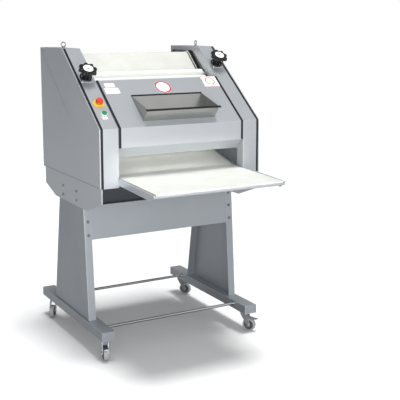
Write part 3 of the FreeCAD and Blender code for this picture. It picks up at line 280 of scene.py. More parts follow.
# %% Colour and node helpers
def colour(code):
    """Hex sRGB to linear: v/12.92 below 0.04045, else ((v + 0.055)/1.055) to the power 2.4."""
    v = np.array([int(code[i:i + 2], 16) for i in (0, 2, 4)]) / 255
    linear = np.where(v <= 0.04045, v / 12.92, ((v + 0.055) / 1.055) ** 2.4)
    return (*linear.tolist(), 1.0)


def add(tree, kind, settings=None, **links):
    """Adds one node. Settings name its properties or its sockets. A link's value is an output socket."""
    made = tree.nodes.new("ShaderNode" + kind)
    for name, value in (settings or {}).items():
        if isinstance(name, str) and hasattr(made, name):
            setattr(made, name, value)
        else:
            made.inputs[name].default_value = value
    for name, source in links.items():
        key = int(name[1:]) if name[0] == "_" and name[1:].isdigit() else name.replace("_", " ")
        tree.links.new(source, made.inputs[key])
    return made


def new_material(name):
    """An empty material with its output and its object coordinates, as (material, tree, coordinates)."""
    made = bpy.data.materials.new(name)
    made.use_nodes = True
    tree = made.node_tree
    tree.nodes.clear()
    return made, tree, add(tree, "TexCoord").outputs["Object"]


def ramp(tree, source, *stops):
    """A colour ramp whose stops are (place, hex colour) pairs."""
    made = add(tree, "ValToRGB", None, Fac=source)
    band = made.color_ramp
    while len(band.elements) < len(stops):
        band.elements.new(1.0)
    for element, (place, code) in zip(band.elements, stops):
        element.position = place
        element.color = colour(code)
    return made.outputs["Color"]


def close_up(tree, surface, bump=None):
    """Joins the shader, with its bump if it has one, to the material's output."""
    if bump is not None:
        tree.links.new(bump, surface.inputs["Normal"])
    add(tree, "OutputMaterial", None, Surface=surface.outputs[0])


print("mid grey is", [round(v, 3) for v in colour("808080")[:3]])

# %% [markdown]
# ## Finishes
# Each finish starts from what the real one is and how its surface was made, since that decides
# what the eye gets: rolling lines, orange peel, brush marks, a weave or a moulded grain.

# %% Sheet, paint and steel
def metal_with_edge_highlight(name, base, shade, metallic, rough, size_mm, bump_mm, stretch=(1, 1, 1), coat=0.0,
               contrast=0.04, edge=0.0):
    """A metal or painted-metal finish: a broad, faint change of tone, a fine texture stretched
    along its working direction, which also moves the roughness, and a shallow bump from it.
    `edge` paints a highlight: it lightens the 3 mm beside a sharp edge, where the eased normal turns from the
    face's, as if light caught the edge."""
    made, tree, place = new_material(name)
    lie = add(tree, "Mapping", {"Scale": stretch}, Vector=place).outputs[0]
    fine = add(tree, "TexNoise", {"Scale": 1000 / size_mm, "Detail": 3.0, "Roughness": 0.6},
               Vector=lie).outputs["Fac"]
    broad = add(tree, "TexNoise", {"Scale": 3.2, "Detail": 2.0, "Roughness": 0.5},
                Vector=place).outputs["Fac"]
    tone = add(tree, "MapRange", {"From Min": 0.3, "From Max": 0.7}, Value=broad).outputs[0]
    body = ramp(tree, tone, (0.0, shade), (1.0, base))
    value = add(tree, "MapRange", {"From Min": 0.25, "From Max": 0.75, "To Min": 1 - contrast,
                                   "To Max": 1 + contrast}, Value=fine).outputs[0]
    speckled = add(tree, "VectorMath", {"operation": "SCALE"}, Vector=body, Scale=value).outputs[0]
    gloss = add(tree, "MapRange", {"To Min": rough - 0.06, "To Max": rough + 0.06}, Value=fine).outputs[0]
    # Painted highlight: the colour beside a sharp edge is lifted by up to 1 + edge, standing for light caught
    # on the eased edge.
    if edge:
        eased = add(tree, "Bevel", {"samples": 4, "Radius": 0.003}).outputs[0]
        plain = add(tree, "NewGeometry").outputs["Normal"]
        facing = add(tree, "VectorMath", {"operation": "DOT_PRODUCT"}, _0=eased, _1=plain).outputs["Value"]
        lift = add(tree, "MapRange", {"From Min": 1.0, "From Max": 0.8, "To Min": 1.0,
                                      "To Max": 1 + edge}, Value=facing).outputs[0]
        speckled = add(tree, "VectorMath", {"operation": "SCALE"}, Vector=speckled, Scale=lift).outputs[0]
    skin = add(tree, "BsdfPrincipled", {"Metallic": metallic, "Coat Weight": coat, "Coat Roughness": 0.25},
               Base_Color=speckled, Roughness=gloss)
    bump = add(tree, "Bump", {"Distance": bump_mm / 1000, "Strength": 0.6}, Height=fine).outputs[0]
    close_up(tree, skin, bump)
    return made


# Satin silver-grey stove enamel over folded steel: a soft even sheen with barely visible peel.
# Its sharp edges get a faint painted highlight.
satin_sheet = metal_with_edge_highlight("satin_enamelled_sheet", "cdd1d5", "c9cdd2", 0.6, 0.42, 3.0, 0.05,
                         contrast=0.012, edge=0.25)
# The stand's darker metallic grey paint, a little rougher than the body's.
# Its sharp edges get a stronger painted highlight.
stand_paint = metal_with_edge_highlight("hammered_grey_stand_paint", "adb3b8", "a6acb2", 0.6, 0.42, 3.0, 0.08,
                         contrast=0.02, edge=0.8)
# Brushed stainless steel: brush marks a fraction of a millimetre wide, drawn 1.2 mm apart to show, along X.
brushed_steel = metal_with_edge_highlight("brushed_stainless_steel", "b9b9b6", "a9aaa8", 1.0, 0.32, 1.2, 0.02,
                           stretch=(0.02, 1, 1), contrast=0.06)
# Zinc plate on pressed forks: bluish, spangled at about 5 mm.
zinc_plate = metal_with_edge_highlight("zinc_plated_pressing", "cfd4d9", "aeb5bb", 1.0, 0.34, 5.0, 0.03, contrast=0.10)
# Drawn bright steel of screws and shafts, with its drawing lines along the part.
bright_steel = metal_with_edge_highlight("bright_drawn_steel", "c9cacb", "b5b7b9", 1.0, 0.24, 1.0, 0.01, contrast=0.05)
# Plain rolled sheet inside the body, dull and slightly darker.
frame_sheet = metal_with_edge_highlight("rolled_frame_plate", "8f959a", "7f868c", 0.5, 0.5, 2.0, 0.03, contrast=0.03)
# Hammered blue-grey enamel on the gearmotor's casting.
motor_enamel = metal_with_edge_highlight("cast_motor_enamel", "5d6a72", "4f5a62", 0.1, 0.42, 2.5, 0.25, coat=0.3,
                          contrast=0.06)
# Polished stainless of the adjuster plates, brighter than the brushed hopper.
polished_steel = metal_with_edge_highlight("polished_stainless_plate", "dfe0e0", "d3d5d6", 0.9, 0.30, 1.5, 0.01,
                            contrast=0.03)
# Passivated zinc of the stand's socket screws, a mid grey.
dull_screw = metal_with_edge_highlight("passivated_screw_steel", "8f9396", "7c8084", 0.9, 0.38, 1.0, 0.01,
                        contrast=0.05)
# The crumb pan and deck under the belt: plain sheet whose dark grey is painted shade, standing for the shade
# in the cavity under the body.
pan_painted_shade = metal_with_edge_highlight("galvanised_pan_painted_shade", "565b60", "4b5056", 0.5, 0.6, 4.0, 0.03, contrast=0.05)
print("metal finishes made")

# %% Rubber, plastic, nylon and cloth
def moulded(name, base, rough, grain_mm, bump_mm, coat=0.0, contrast=0.05):
    """A moulded finish: one colour with a fine grain that moves tone, roughness and bump together."""
    made, tree, place = new_material(name)
    grain = add(tree, "TexNoise", {"Scale": 1000 / grain_mm, "Detail": 2.0}, Vector=place).outputs["Fac"]
    value = add(tree, "MapRange", {"To Min": 1 - contrast, "To Max": 1 + contrast}, Value=grain).outputs[0]
    tinted = add(tree, "VectorMath", {"operation": "SCALE", "Vector": colour(base)[:3]},
                 Scale=value).outputs[0]
    gloss = add(tree, "MapRange", {"To Min": rough - 0.05, "To Max": rough + 0.05}, Value=grain).outputs[0]
    skin = add(tree, "BsdfPrincipled", {"Coat Weight": coat, "Coat Roughness": 0.15, "IOR": 1.5},
               Base_Color=tinted, Roughness=gloss)
    bump = add(tree, "Bump", {"Distance": bump_mm / 1000, "Strength": 0.5}, Height=grain).outputs[0]
    close_up(tree, skin, bump)
    return made


black_rubber = moulded("extruded_black_rubber", "1c1e20", 0.62, 1.5, 0.06, contrast=0.15)
black_plastic = moulded("glass_filled_black_nylon", "1a1b1d", 0.42, 1.2, 0.05, coat=0.15, contrast=0.12)
white_nylon = moulded("turned_white_nylon", "eceee9", 0.38, 2.0, 0.02, contrast=0.015)
red_plastic = moulded("moulded_red_plastic", "d8402f", 0.35, 1.5, 0.02, coat=0.3)
yellow_plastic = moulded("moulded_yellow_plastic", "e8c21c", 0.38, 1.5, 0.02, coat=0.2)
green_plastic = moulded("moulded_green_plastic", "0f8a58", 0.32, 1.5, 0.02, coat=0.3)
grey_tyre = moulded("non_marking_grey_rubber", "a9abaa", 0.6, 2.0, 0.06, contrast=0.04)
dark_hub = moulded("dark_caster_plastic", "54585c", 0.5, 1.5, 0.04, contrast=0.08)
white_face = moulded("printed_white_card", "f2f2ef", 0.55, 1.0, 0.0, contrast=0.01)
red_print = moulded("printed_red_border", "c9303a", 0.5, 1.0, 0.0, contrast=0.03)


def woven_belt(name, base, shade, thread_mm):
    """A white dough belt: a plain weave of threads under a thin coat. Two sine waves, across the
    belt in X and along it in Y + Z, whose product is the weave, give the bump and a faint tone."""
    made, tree, place = new_material(name)
    lie = add(tree, "SeparateXYZ", None, Vector=place).outputs
    turns = 2 * math.pi * 1000 / thread_mm
    across = add(tree, "Math", {"operation": "MULTIPLY", 1: turns}, _0=lie["X"]).outputs[0]
    along = add(tree, "Math", {"operation": "ADD"}, _0=lie["Y"], _1=lie["Z"]).outputs[0]
    along = add(tree, "Math", {"operation": "MULTIPLY", 1: turns}, _0=along).outputs[0]
    across = add(tree, "Math", {"operation": "SINE"}, _0=across).outputs[0]
    along = add(tree, "Math", {"operation": "SINE"}, _0=along).outputs[0]
    weave = add(tree, "Math", {"operation": "MULTIPLY"}, _0=across, _1=along).outputs[0]
    weave = add(tree, "MapRange", {"From Min": -1.0, "From Max": 1.0}, Value=weave).outputs[0]
    flour = add(tree, "TexNoise", {"Scale": 9.0, "Detail": 5.0, "Roughness": 0.6},
                Vector=place).outputs["Fac"]
    tone = add(tree, "MapRange", {"From Min": 0.35, "From Max": 0.65}, Value=flour).outputs[0]
    body = ramp(tree, tone, (0.0, shade), (1.0, base))
    value = add(tree, "MapRange", {"To Min": 0.97, "To Max": 1.0}, Value=weave).outputs[0]
    cloth = add(tree, "VectorMath", {"operation": "SCALE"}, Vector=body, Scale=value).outputs[0]
    skin = add(tree, "BsdfPrincipled", {"Roughness": 0.62, "Sheen Weight": 0.15, "IOR": 1.5},
               Base_Color=cloth)
    bump = add(tree, "Bump", {"Distance": 0.0002, "Strength": 0.35}, Height=weave).outputs[0]
    close_up(tree, skin, bump)
    return made


# Threads of such a belt lie under 1 mm apart; they are drawn 3 mm apart so that the weave shows.
dough_belt = woven_belt("woven_dough_belt", "d8d9d4", "d0d1ca", 3.0)
print("materials", len(bpy.data.materials))

# %% Finishes for the nodes that stay
FINISH = {
    "body_sheet": satin_sheet, "frame_plate": frame_sheet, "stand_paint": stand_paint,
    "stainless": brushed_steel, "fastener": bright_steel, "gasket": black_rubber, "belt": dough_belt,
    "roller_metal": bright_steel, "roller_white": white_nylon, "motor_paint": motor_enamel,
    "black_plastic": black_plastic, "yellow_plastic": yellow_plastic, "red_plastic": red_plastic,
    "green_plastic": green_plastic, "zinc": zinc_plate, "wheel_rubber": grey_tyre,
}
OWN_FINISH = {"bottom_pan": pan_painted_shade, "tray_frame": satin_sheet}
for subpart in frame["record"]["subparts"]:
    for held in frame["nodes"][subpart["node"]].material_slots:
        held.material = OWN_FINISH.get(subpart["node"], FINISH[subpart["material_slot"]])
slot_of = {subpart["node"]: subpart["material_slot"] for subpart in frame["record"]["subparts"]}
body_of = {node: body for body, nodes in frame["record"]["behaviour"]["bodies"].items() for node in nodes}
print("nodes finished", len(slot_of))

# %% [markdown]
# ## The body's side view
# Almost every sheet of the body follows one outline in the side view: front face, slope, top and
# rear. It is written once, going anticlockwise so that "inwards" is always on its left.

# %% Side outline
BOTTOM, FOLD, TOP, DEPTH, RUN = 925.0, 1228.0, 1615.0, 850.0, 500.0
HALF, REAR_TOP = 475.0, 1500.0
SLOPE_LENGTH = math.hypot(RUN, TOP - FOLD)
COS, SIN = RUN / SLOPE_LENGTH, (TOP - FOLD) / SLOPE_LENGTH
SLOPE_ANGLE = math.degrees(math.atan2(SIN, COS))
OUTLINE = [(0, BOTTOM), (DEPTH, BOTTOM), (DEPTH, TOP), (RUN, TOP), (0, FOLD)]


def slope(distance, lift=0.0):
    """The side-view point so far up the slope from its fold and so far off its surface."""
    return COS * distance - SIN * lift, FOLD + SIN * distance + COS * lift


def on_slope(shape, x, distance, lift=0.0):
    """A shape drawn about its own Z axis, stood on the slope."""
    y, z = slope(distance, lift)
    return moved(tipped(shape, 0, SLOPE_ANGLE), x, y, z)


print("slope", round(SLOPE_ANGLE, 1), "degrees, length", round(SLOPE_LENGTH), "mm")

# %% [markdown]
# ## Side covers and their gaskets
# Each end of the body is closed by a folded cover with a short return all round, and a black
# extruded gasket shows as a dark line between it and the column. A cover is a rim profile carried
# round the outline, closed by one face inside and one outside, so its fold catches a thin light.

# %% Side covers
def side_cover():
    """Rim profile (x, depth from the outline): hem, return, eased fold, then the two faces."""
    rim = [(473, 7), (473, 3), (469.2, 3), (469, 2.7), (469, 0.5), (469.4, 0.1), (473.2, 0),
           (474.3, 0.35), (HALF, 1.4), (HALF, 5)]
    path = rounded(OUTLINE, 3.0, 3)
    return capped(np.swapaxes(folded(path, rim, closed=True), 0, 1))


SEAL = [(455.2, 1), (468.8, 1), (468.8, 13), (455.2, 13)]
SIDES = {"left": -1, "right": 1}


def on_side(shape, side):
    """A shape drawn for the right, as it is or mirrored to the left."""
    return mirrored(shape) if side == "left" else shape


for side in SIDES:
    piece("cover_" + side, "machine", satin_sheet, "body_sheet", on_side(side_cover(), side),
          nodes="side_cover_" + side)
gasket = hoop(folded(rounded(OUTLINE, 3.0, 3), rounded(SEAL, 0.8, 2), closed=True))
piece("cover_seals", "machine", black_rubber, "gasket", gasket, mirrored(gasket), nodes="cover_gaskets")
print("cover faces", triangles["cover_left"], "gasket faces", triangles["cover_seals"])

# %% [markdown]
# ## Column panels
# Each column is one folded sheet: front, slope, top and a short drop at the rear, with a deep
# return flange on the side of the belts. The flange is 60 mm deep on the front and slope, and
# 24 mm on top. The middle of the sheet is drawn, and Solidify gives it its 2 mm.

# %% Column panels
def column_panel():
    """The sheet's middle line folded along the open outline, with a flange depth for each edge."""
    path = [(DEPTH, REAR_TOP), (DEPTH, TOP), (RUN, TOP), (0, FOLD), (0, BOTTOM)]
    deep = np.array([24, 24, 60, 60, 60.0])
    profile = [(455.2, 1.0), (375.2, 1.0), (373.2, 1.0), (371.9, 1.25), (371.2, 2.0), (371.0, 3.2),
               (371.0, deep)]
    return grid(folded(path, profile))


for side in SIDES:
    piece("column_" + side, "machine", satin_sheet, "body_sheet", on_side(column_panel(), side),
          nodes="column_panel_" + side, sheet=1.9, bevel=0.8)
print("column faces", triangles["column_left"])

# %% [markdown]
# ## Front guard
# The hinged guard is one sheet too: it comes down the slope, folds to the vertical front, and turns
# back under at its lower lip. Its mouth for the dough is cut through the slope: the grid's one face
# inside the mouth is left out, and Bevel eases the edges that this opens.

# %% Front guard and its edge strips
GUARD_HALF, GUARD_TOP = 368.5, 365.0
MOUTH_HALF, MOUTH_LOW, MOUTH_HIGH = 213.0, 43.0, 237.0
LIP, LIP_END = (0, FOLD - 101), (65, FOLD - 157)
GUARD_PATH = [slope(GUARD_TOP), slope(MOUTH_HIGH), slope(MOUTH_LOW), (0, FOLD), LIP, LIP_END]


def guard_sheet():
    """The sheet's middle line at x columns, with a short flange at each side, less the mouth's faces."""
    flange = np.array([21, 21, 21, 21, 0.6, 0.6])
    half = [(GUARD_HALF - 0.9, flange), (GUARD_HALF - 0.9, 3.0), (GUARD_HALF - 1.2, 1.6),
            (GUARD_HALF - 2.6, 0.9), (GUARD_HALF - 5, 0.9), (MOUTH_HALF, 0.9)]
    profile = half + [(-x, depth) for x, depth in half[::-1]]
    vertices, faces = grid(folded(GUARD_PATH, profile))
    mouth_row, mouth_column = 1, len(half) - 1
    mouth = mouth_row * (len(profile) - 1) + mouth_column
    return vertices, faces[:mouth] + faces[mouth + 1:]


def guard_strip():
    """A rubber edge strip with eased edges, proud of the sheet, down the slope and the front."""
    profile = [(356.6, 0.2), (356.6, -1.7), (357.4, -2), (367.6, -2), (368.4, -1.7), (368.4, 0.2)]
    return capped(folded([slope(GUARD_TOP), (0, FOLD), LIP], profile))


piece("guard_panel", "guard", satin_sheet, "body_sheet", guard_sheet(), nodes="front_guard",
      sheet=1.8, bevel=0.8)
strip = guard_strip()
piece("guard_strips", "guard", black_rubber, "gasket", strip, mirrored(strip), nodes="guard_gaskets")
print("guard faces", triangles["guard_panel"])

# %% [markdown]
# ## Hopper
# The hopper is folded from brushed stainless sheet: a front wall square to the slope with a small
# rolled lip, two upright side walls, and a back and floor that lead down to the rollers. Each wall
# lies straight between two edges, so its grid follows the real sheet's flats. Two black strips are
# painted shade: one along the mouth's upper edge stands for the dark gap there, one over the lip for its hem
# in shadow.

# %% Hopper
def blend_edges(first, second):
    """The flat or ruled sheet between two edges: row 0 is the first edge and row 1 the second."""
    return np.stack([np.asarray(first, float), np.asarray(second, float)])


def at(x, point):
    """A side-view point at place x."""
    return (x, *point)


def hopper():
    """Front, back, floor and two side walls, each a blend between its top and bottom edges."""
    half = MOUTH_HALF - 1.5

    def row(point):
        return [at(-half, point), at(half, point)]

    low, high = slope(44.5), slope(44.5, 75.0)
    lip_back, lip_front = slope(41, 76.0), slope(37, 75.2)
    lip_down = slope(36, 72)
    back, foot_back, foot_front = slope(236.5), (133.0, 1221.3), (111.0, 1221.3)
    front = np.array([row(low), row(high), row(lip_back), row(lip_front), row(lip_down)])
    walls = [grid(front), grid(blend_edges(row(back), row(foot_back))),
             grid(blend_edges(row(low), row(foot_front)))]
    top = [at(half, high), at(half, back)]
    middle = [at(half, low), at(half, back)]
    bottom = [at(half, foot_front), at(half, foot_back)]
    side = joined(grid(blend_edges(top, middle)), grid(blend_edges(middle, bottom)))
    return joined(*walls, side, mirrored(side))


piece("hopper_sheet", "guard", brushed_steel, "stainless", hopper(), nodes="hopper", sheet=1.9, bevel=0.7)


def across_slope(profile, half):
    """A closed (distance, lift) profile on the slope carried straight along X from -half to half."""
    line = [slope(distance, lift) for distance, lift in rounded(profile, 0.8, 2)]
    return capped(rows_at([line, line], (half, -half)))


# Painted shade in black rubber: the strip on the mouth's upper edge stands for its dark gap, and the strip on
# the lip stands for the hem in shadow.
mouth_gap_shade_strip = across_slope([(231, 0.9), (239, 0.9), (239, 3.6), (233, 4.6), (231, 4.6)], 212)
lip_hem_shade_strip = across_slope([(33.5, 75), (41, 73.6), (47.5, 73.6), (47.5, 77.6), (35, 77.6)], 220)
piece("hopper_shade_strips", "guard", black_rubber, "gasket", mouth_gap_shade_strip, lip_hem_shade_strip)
print("hopper faces", triangles["hopper_sheet"])

# %% [markdown]
# ## Belts
# Both belts are endless bands round their rollers. In the side view a belt's line is made of
# straight tangents and arcs: the tangent of two wheels leaves at the angle of their centre line
# less the arcsine of their radius difference over their distance.

# %% Belts
def belt_line(wheels, offset, steps=14):
    """Points round wheels (y, z, radius), anticlockwise; a wheel outside the loop has a negative
    radius. With heading h along a tangent, the arc is centre + radius (sin h, -cos h)."""
    wheels = np.asarray(wheels, float)
    y, z, radius = wheels.T
    radius = radius + offset
    ahead_y, ahead_z = np.roll(y, -1) - y, np.roll(z, -1) - z
    growth = (np.roll(radius, -1) - radius) / np.hypot(ahead_y, ahead_z)
    leave = np.arctan2(ahead_z, ahead_y) - np.arcsin(growth)
    arrive = np.roll(leave, 1)
    swing = (leave - arrive + np.pi) % (2 * np.pi) - np.pi
    swing = np.where((radius > 0) & (swing < 0), swing + 2 * np.pi, swing)
    heading = arrive[:, None] + swing[:, None] * np.linspace(0, 1, steps)[None]
    line = [y[:, None] + radius[:, None] * np.sin(heading), z[:, None] - radius[:, None] * np.cos(heading)]
    return np.stack(line, -1).reshape(-1, 2)


def belt(wheels, half, wall=2.0, play=0.3):
    """The belt's section, eased at its edges, carried round between its inner and outer faces: each
    corner is (x, share of the way out)."""
    inner, outer = belt_line(wheels, play), belt_line(wheels, play + wall)
    section = [(-half + 0.6, 0), (half - 0.6, 0), (half, 0.3), (half, 0.7), (half - 0.6, 1),
               (-half + 0.6, 1), (-half, 0.7), (-half, 0.3)]
    rows = [np.insert((1 - out) * inner + out * outer, 0, x, axis=1) for x, out in section]
    return hoop(np.stack(rows, 1))


TRAY_REACH, NOSE_RADIUS = 400.0, 2.5
NOSE = (NOSE_RADIUS + 2 + 0.3 - TRAY_REACH, 952.5, NOSE_RADIUS)
RETURN_BAR = (75.0, 946.5, 8.0)
BEND = (95.0, 975.0)
LOWER_DRIVE = (620.0, 1057.0, 45.0)
front_slope = math.atan2(BEND[1] - NOSE[1] - NOSE[2], BEND[0] - NOSE[0])
rear_slope = math.atan2(LOWER_DRIVE[1] + LOWER_DRIVE[2] - BEND[1], LOWER_DRIVE[0] - BEND[0])
mean = (front_slope + rear_slope) / 2
BEND_RADIUS = 150.0
HOLD_DOWN = (BEND[0] - BEND_RADIUS * math.sin(mean), BEND[1] + BEND_RADIUS * math.cos(mean),
             -(BEND_RADIUS + 2.3))
UPPER = {"nose": (330.0, 1113.0), "rear": (600.0, 1180.0), "drive": (622.0, 1542.0),
         "front": (467.5, 1403.0)}
UPPER_RADIUS, LOWER_HALF, UPPER_HALF = 38.0, 362, 350
LOWER_WHEELS = [NOSE, RETURN_BAR, LOWER_DRIVE, HOLD_DOWN]
UPPER_WHEELS = [(*centre, UPPER_RADIUS) for centre in UPPER.values()]
piece("outfeed_belt", "machine", dough_belt, "belt", belt(LOWER_WHEELS, LOWER_HALF), nodes="lower_belt")
piece("moulding_belt", "machine", dough_belt, "belt", belt(UPPER_WHEELS, UPPER_HALF), nodes="upper_belt")
print("belt faces", triangles["outfeed_belt"], triangles["moulding_belt"])

# %% [markdown]
# ## Rollers and cheeks
# Every roller is a barrel with eased ends on a shaft that reaches into the bearings. Driven shafts
# carry sprockets on the right and gears on the left, whose teeth are a wave round the axis. Beside
# the moulding belt two white nylon cheeks keep the dough in. The black rim round each cheek is
# painted shade: it stands for the dark gap between the cheek and the column wall.

# %% Rollers and cheeks
GUIDES = {"guide_upper": (436.2, 1463.2), "guide_lower": (395.1, 1431.4)}
SHEETING = {"front": (84.0, 1185.0), "rear": (160.0, 1185.0)}
SHAFT, SHAFT_END = 10, 395.5
SPROCKET_PLANE, SPROCKET_STEP, SPROCKET_WALL = 396.5, 12, 6


def roller(y, z, radius, half, ease=2.5):
    """Shaft tip, shaft, a collar against the end face, eased edge and barrel, and the same mirrored."""
    end = [(0.4, SHAFT_END), (9.2, SHAFT_END), (10, SHAFT_END - 0.8), (10, half + 4), (14, half + 3.6),
           (14.4, half + 0.1), (radius - ease - 4, half), (radius - ease, half),
           (radius - 0.3 * ease, half - 0.3 * ease), (radius, half - ease), (radius, half - ease - 4)]
    other = [(r, -x) for r, x in end[::-1]]
    return moved(along_x(other[::-1] + end[::-1], 48), 0, y, z)


def toothed(y, z, radius, plane, teeth, wall=6.0):
    """A toothed wheel turned about X: its rim radius is wave-shaped with one crest for each tooth."""
    root, rim = radius * 0.84, radius * 0.97
    profile = [(10.2, 0), (17, -0.01), (root, 0), (rim, 0.8), (rim, wall - 0.8), (root, wall),
               (17, wall), (10.2, wall)]
    swell = [0, 0, 0, 0.035, 0.035, 0, 0, 0]
    return moved(tipped(turned(profile, 4 * teeth, teeth, swell, 0.7, ring=True), 1, 90), plane, y, z)


def sprocket(y, z, step, side=1, radius=34.0, teeth=18):
    """A toothed wheel in one of the planes outside the bearings, with its hub."""
    start = SPROCKET_PLANE + SPROCKET_STEP * step
    plane = start if side > 0 else -start - SPROCKET_WALL
    hub = ((SHAFT_END - 0.5, plane + SPROCKET_WALL + 0.2) if side > 0
           else (plane - 0.2, -SHAFT_END + 0.5))
    return joined(toothed(y, z, radius, plane, teeth), moved(rod(SHAFT, *hub, 0.4), 0, y, z))


rollers = {
    "lower_drive": roller(*LOWER_DRIVE, LOWER_HALF),
    "guide_upper": roller(*GUIDES["guide_upper"], 25, 354),
    "guide_lower": roller(*GUIDES["guide_lower"], 25, 354),
}
for name in UPPER:
    rollers["upper_" + name] = roller(*UPPER[name], UPPER_RADIUS, UPPER_HALF)
rollers["lower_drive"] = joined(rollers["lower_drive"], sprocket(*LOWER_DRIVE[:2], 0),
                                sprocket(*LOWER_DRIVE[:2], 1))
rollers["upper_drive"] = joined(rollers["upper_drive"], sprocket(*UPPER["drive"], 1))


def node_piece(name, node, *shapes):
    """A piece on the body of the node that it replaces, with the finish of that node's slot."""
    slot = slot_of[node]
    return piece(name, body_of[node], FINISH[slot], slot, *shapes, nodes=node)


for name, shape in rollers.items():
    node_piece("turned_" + name, name + "_roller", shape)
for name, (y, z) in SHEETING.items():
    node_piece("dough_roller_" + name, "sheeting_roller_" + name,
               roller(y, z, 32, 354, 4), sprocket(y, z, 0, -1, 37.0, 24))

CHEEK_WHEELS = [(*UPPER[name], 47.3) for name in ("front", "drive")]


def cheek_rows(corners):
    """One outline round the moulding belt's two upper wheels for each (x, offset) corner."""
    return rows_at([belt_line(CHEEK_WHEELS, offset, 20) for _, offset in corners],
                   [x for x, _ in corners])


cheek = capped(cheek_rows([(358, -1), (358.8, -0.2), (377, -0.2), (377.8, -1)]))
# Painted shade: a black rim round each cheek stands for the dark gap between cheek and column wall.
cheek_gap_shade = hoop(np.swapaxes(cheek_rows([(359.5, -0.3), (359.5, 2.2), (376.5, 2.2), (376.5, -0.3)]), 0, 1))
piece("nylon_cheeks", body_of["belt_cheeks"], white_nylon, slot_of["belt_cheeks"],
      cheek, mirrored(cheek), nodes="belt_cheeks")
piece("cheek_gap_shade_rims", body_of["belt_cheeks"], black_rubber, "gasket", cheek_gap_shade, mirrored(cheek_gap_shade))
print("rollers", len(rollers) + 2)

# %% [markdown]
# ## Outfeed tray
# The tray's bed lies under the belt and is hardly seen, so it stays as packed. Its two side plates
# get a folded hem along their top edge, and a folded lip stiffens the front under the belt's nose.

# %% Tray hems and lip
TRAY_SIDE = 375.5
HEM = [(-398.0, 953.6), (-0.8, 971.2)]


def hem():
    """A flattened tube along the plate's top edge. Its section is a superellipse, 5 mm wide and 3 mm
    high: half of each times the 0.7th power of the cosine and the sine."""
    u = np.linspace(0, 2 * np.pi, 14, endpoint=False)
    section = np.stack([2.5 * np.sign(np.cos(u)) * np.abs(np.cos(u)) ** 0.7,
                        1.5 * np.sign(np.sin(u)) * np.abs(np.sin(u)) ** 0.7], -1)
    return capped(rows_at([section + [TRAY_SIDE, z] for _, z in HEM], [y for y, _ in HEM], 1))


def tray_lip():
    """A channel under the belt's nose: its side-view outline carried straight between the side plates."""
    outline = [(-397.5, 948.6), (-397.5, 940.5), (-392, 934.5), (-368, 934.5), (-368, 936.5), (-391, 936.5),
               (-395.5, 941.3), (-395.5, 948.6)]
    return prism(rounded(outline[::-1], 0.8, 2), -373.2, 373.2)


hem_right = hem()
piece("tray_hems", "machine", satin_sheet, "frame_plate", hem_right, mirrored(hem_right), tray_lip())
print("tray pieces made")

# %% [markdown]
# ## Rear panel, gland and drive
# The rear is closed by a plain screwed panel with a shallow pressed field, and the mains gland is
# a hexagon nut with a plain dome. Inside, the gearmotor has a finned case between two end shields.

# %% Rear panel and gland
def rear_sheet():
    """Nested eased rectangles (x, z): edge, flat rim, and a field pressed in by 0.8 mm."""
    centre_z = (BOTTOM + REAR_TOP) / 2
    steps = [(910, 575, 848.3, 1), (910, 575, 849.7, 1), (909, 574, DEPTH, 1), (840, 505, DEPTH, 8),
             (836, 501, DEPTH - 0.8, 8)]
    return capped(rows_at([box_tube(width, height, ease) + [0, centre_z] for width, height, _, ease in steps],
                          [y for _, _, y, _ in steps], 1))


panel_screws = [moved(tipped(screw(5, 2.6, 6.5), 0, -90), x, DEPTH, z)
                for x in (-440, 0, 440) for z in (942, 1483)]
piece("screwed_rear_panel", "machine", satin_sheet, "body_sheet", rear_sheet(), nodes="rear_panel")
piece("rear_panel_screws", "machine", bright_steel, "fastener", *panel_screws)


GLAND = (-300, DEPTH, 1000)


def gland():
    """Flange, hexagon nut and dome turned about Z: the swell of six lobes fades out above the nut."""
    profile = [(6.7, -13.5), (11.8, -13.5), (11.8, -0.2), (16.4, 0), (16.4, 1.6), (15.0, 2.2),
               (15.0, 5.6), (14.0, 6.2), (12.6, 6.6), (12.2, 8.6), (10.6, 10.8), (8.6, 11.9), (6.7, 12)]
    swell = [0, 0, 0, 0, 0, 0.055, 0.055, 0.03, 0, 0, 0, 0, 0]
    return moved(tipped(turned(profile, 72, 6, swell, 0.8, ring=True), 0, -90), *GLAND)


piece("ribbed_gland", "machine", black_plastic, slot_of["mains_gland"], gland(), nodes="mains_gland")
print("rear made")

# %% Gearmotor
MOTOR = (755, 1012)


def motor_case():
    """The case turned about X: fan cowl, end shield, a middle whose 30 fins are a wave, gear head."""
    profile = [(0.4, 133), (36, 133), (45, 135.5), (51, 140), (58, 142), (60, 144), (60, 152),
               (57, 153), (57, 286), (60, 288), (61.6, 290), (61.6, 322), (58, 326), (58, 340),
               (61.6, 344), (61.6, 370), (60, 371.6), (0.4, 371.6)]
    swell = [0.045 if radius == 57 else 0 for radius, _ in profile]
    return moved(tipped(turned(profile, 120, 30, swell, 0.6), 1, 90), 0, *MOTOR)


def motor_mount():
    """Foot and bracket: two side-view outlines with eased corners carried straight along X."""
    foot = rounded([(722, 925.2), (722, 938), (734, 944), (734, 968), (776, 968), (776, 944),
                    (788, 938), (788, 925.2)], 3, 3)
    bracket = rounded([(693, 925.2), (817, 925.2), (817, 1074), (693, 1074)], [2, 2, 40, 40], 6)
    return joined(prism(foot, 150, 362), prism(bracket, 372, 377.8))


piece("finned_gearmotor", "machine", motor_enamel, slot_of["gearmotor"], motor_case(), motor_mount(),
      nodes="gearmotor", bevel=0.8)
piece("motor_sprocket_wheel", "motor_shaft", bright_steel, slot_of["motor_sprocket"],
      moved(rod(SHAFT, 378.5, 402.4, 0.6), 0, *MOTOR), toothed(*MOTOR, 34, SPROCKET_PLANE, 18),
      nodes="motor_sprocket")
print("motor faces", triangles["finned_gearmotor"])

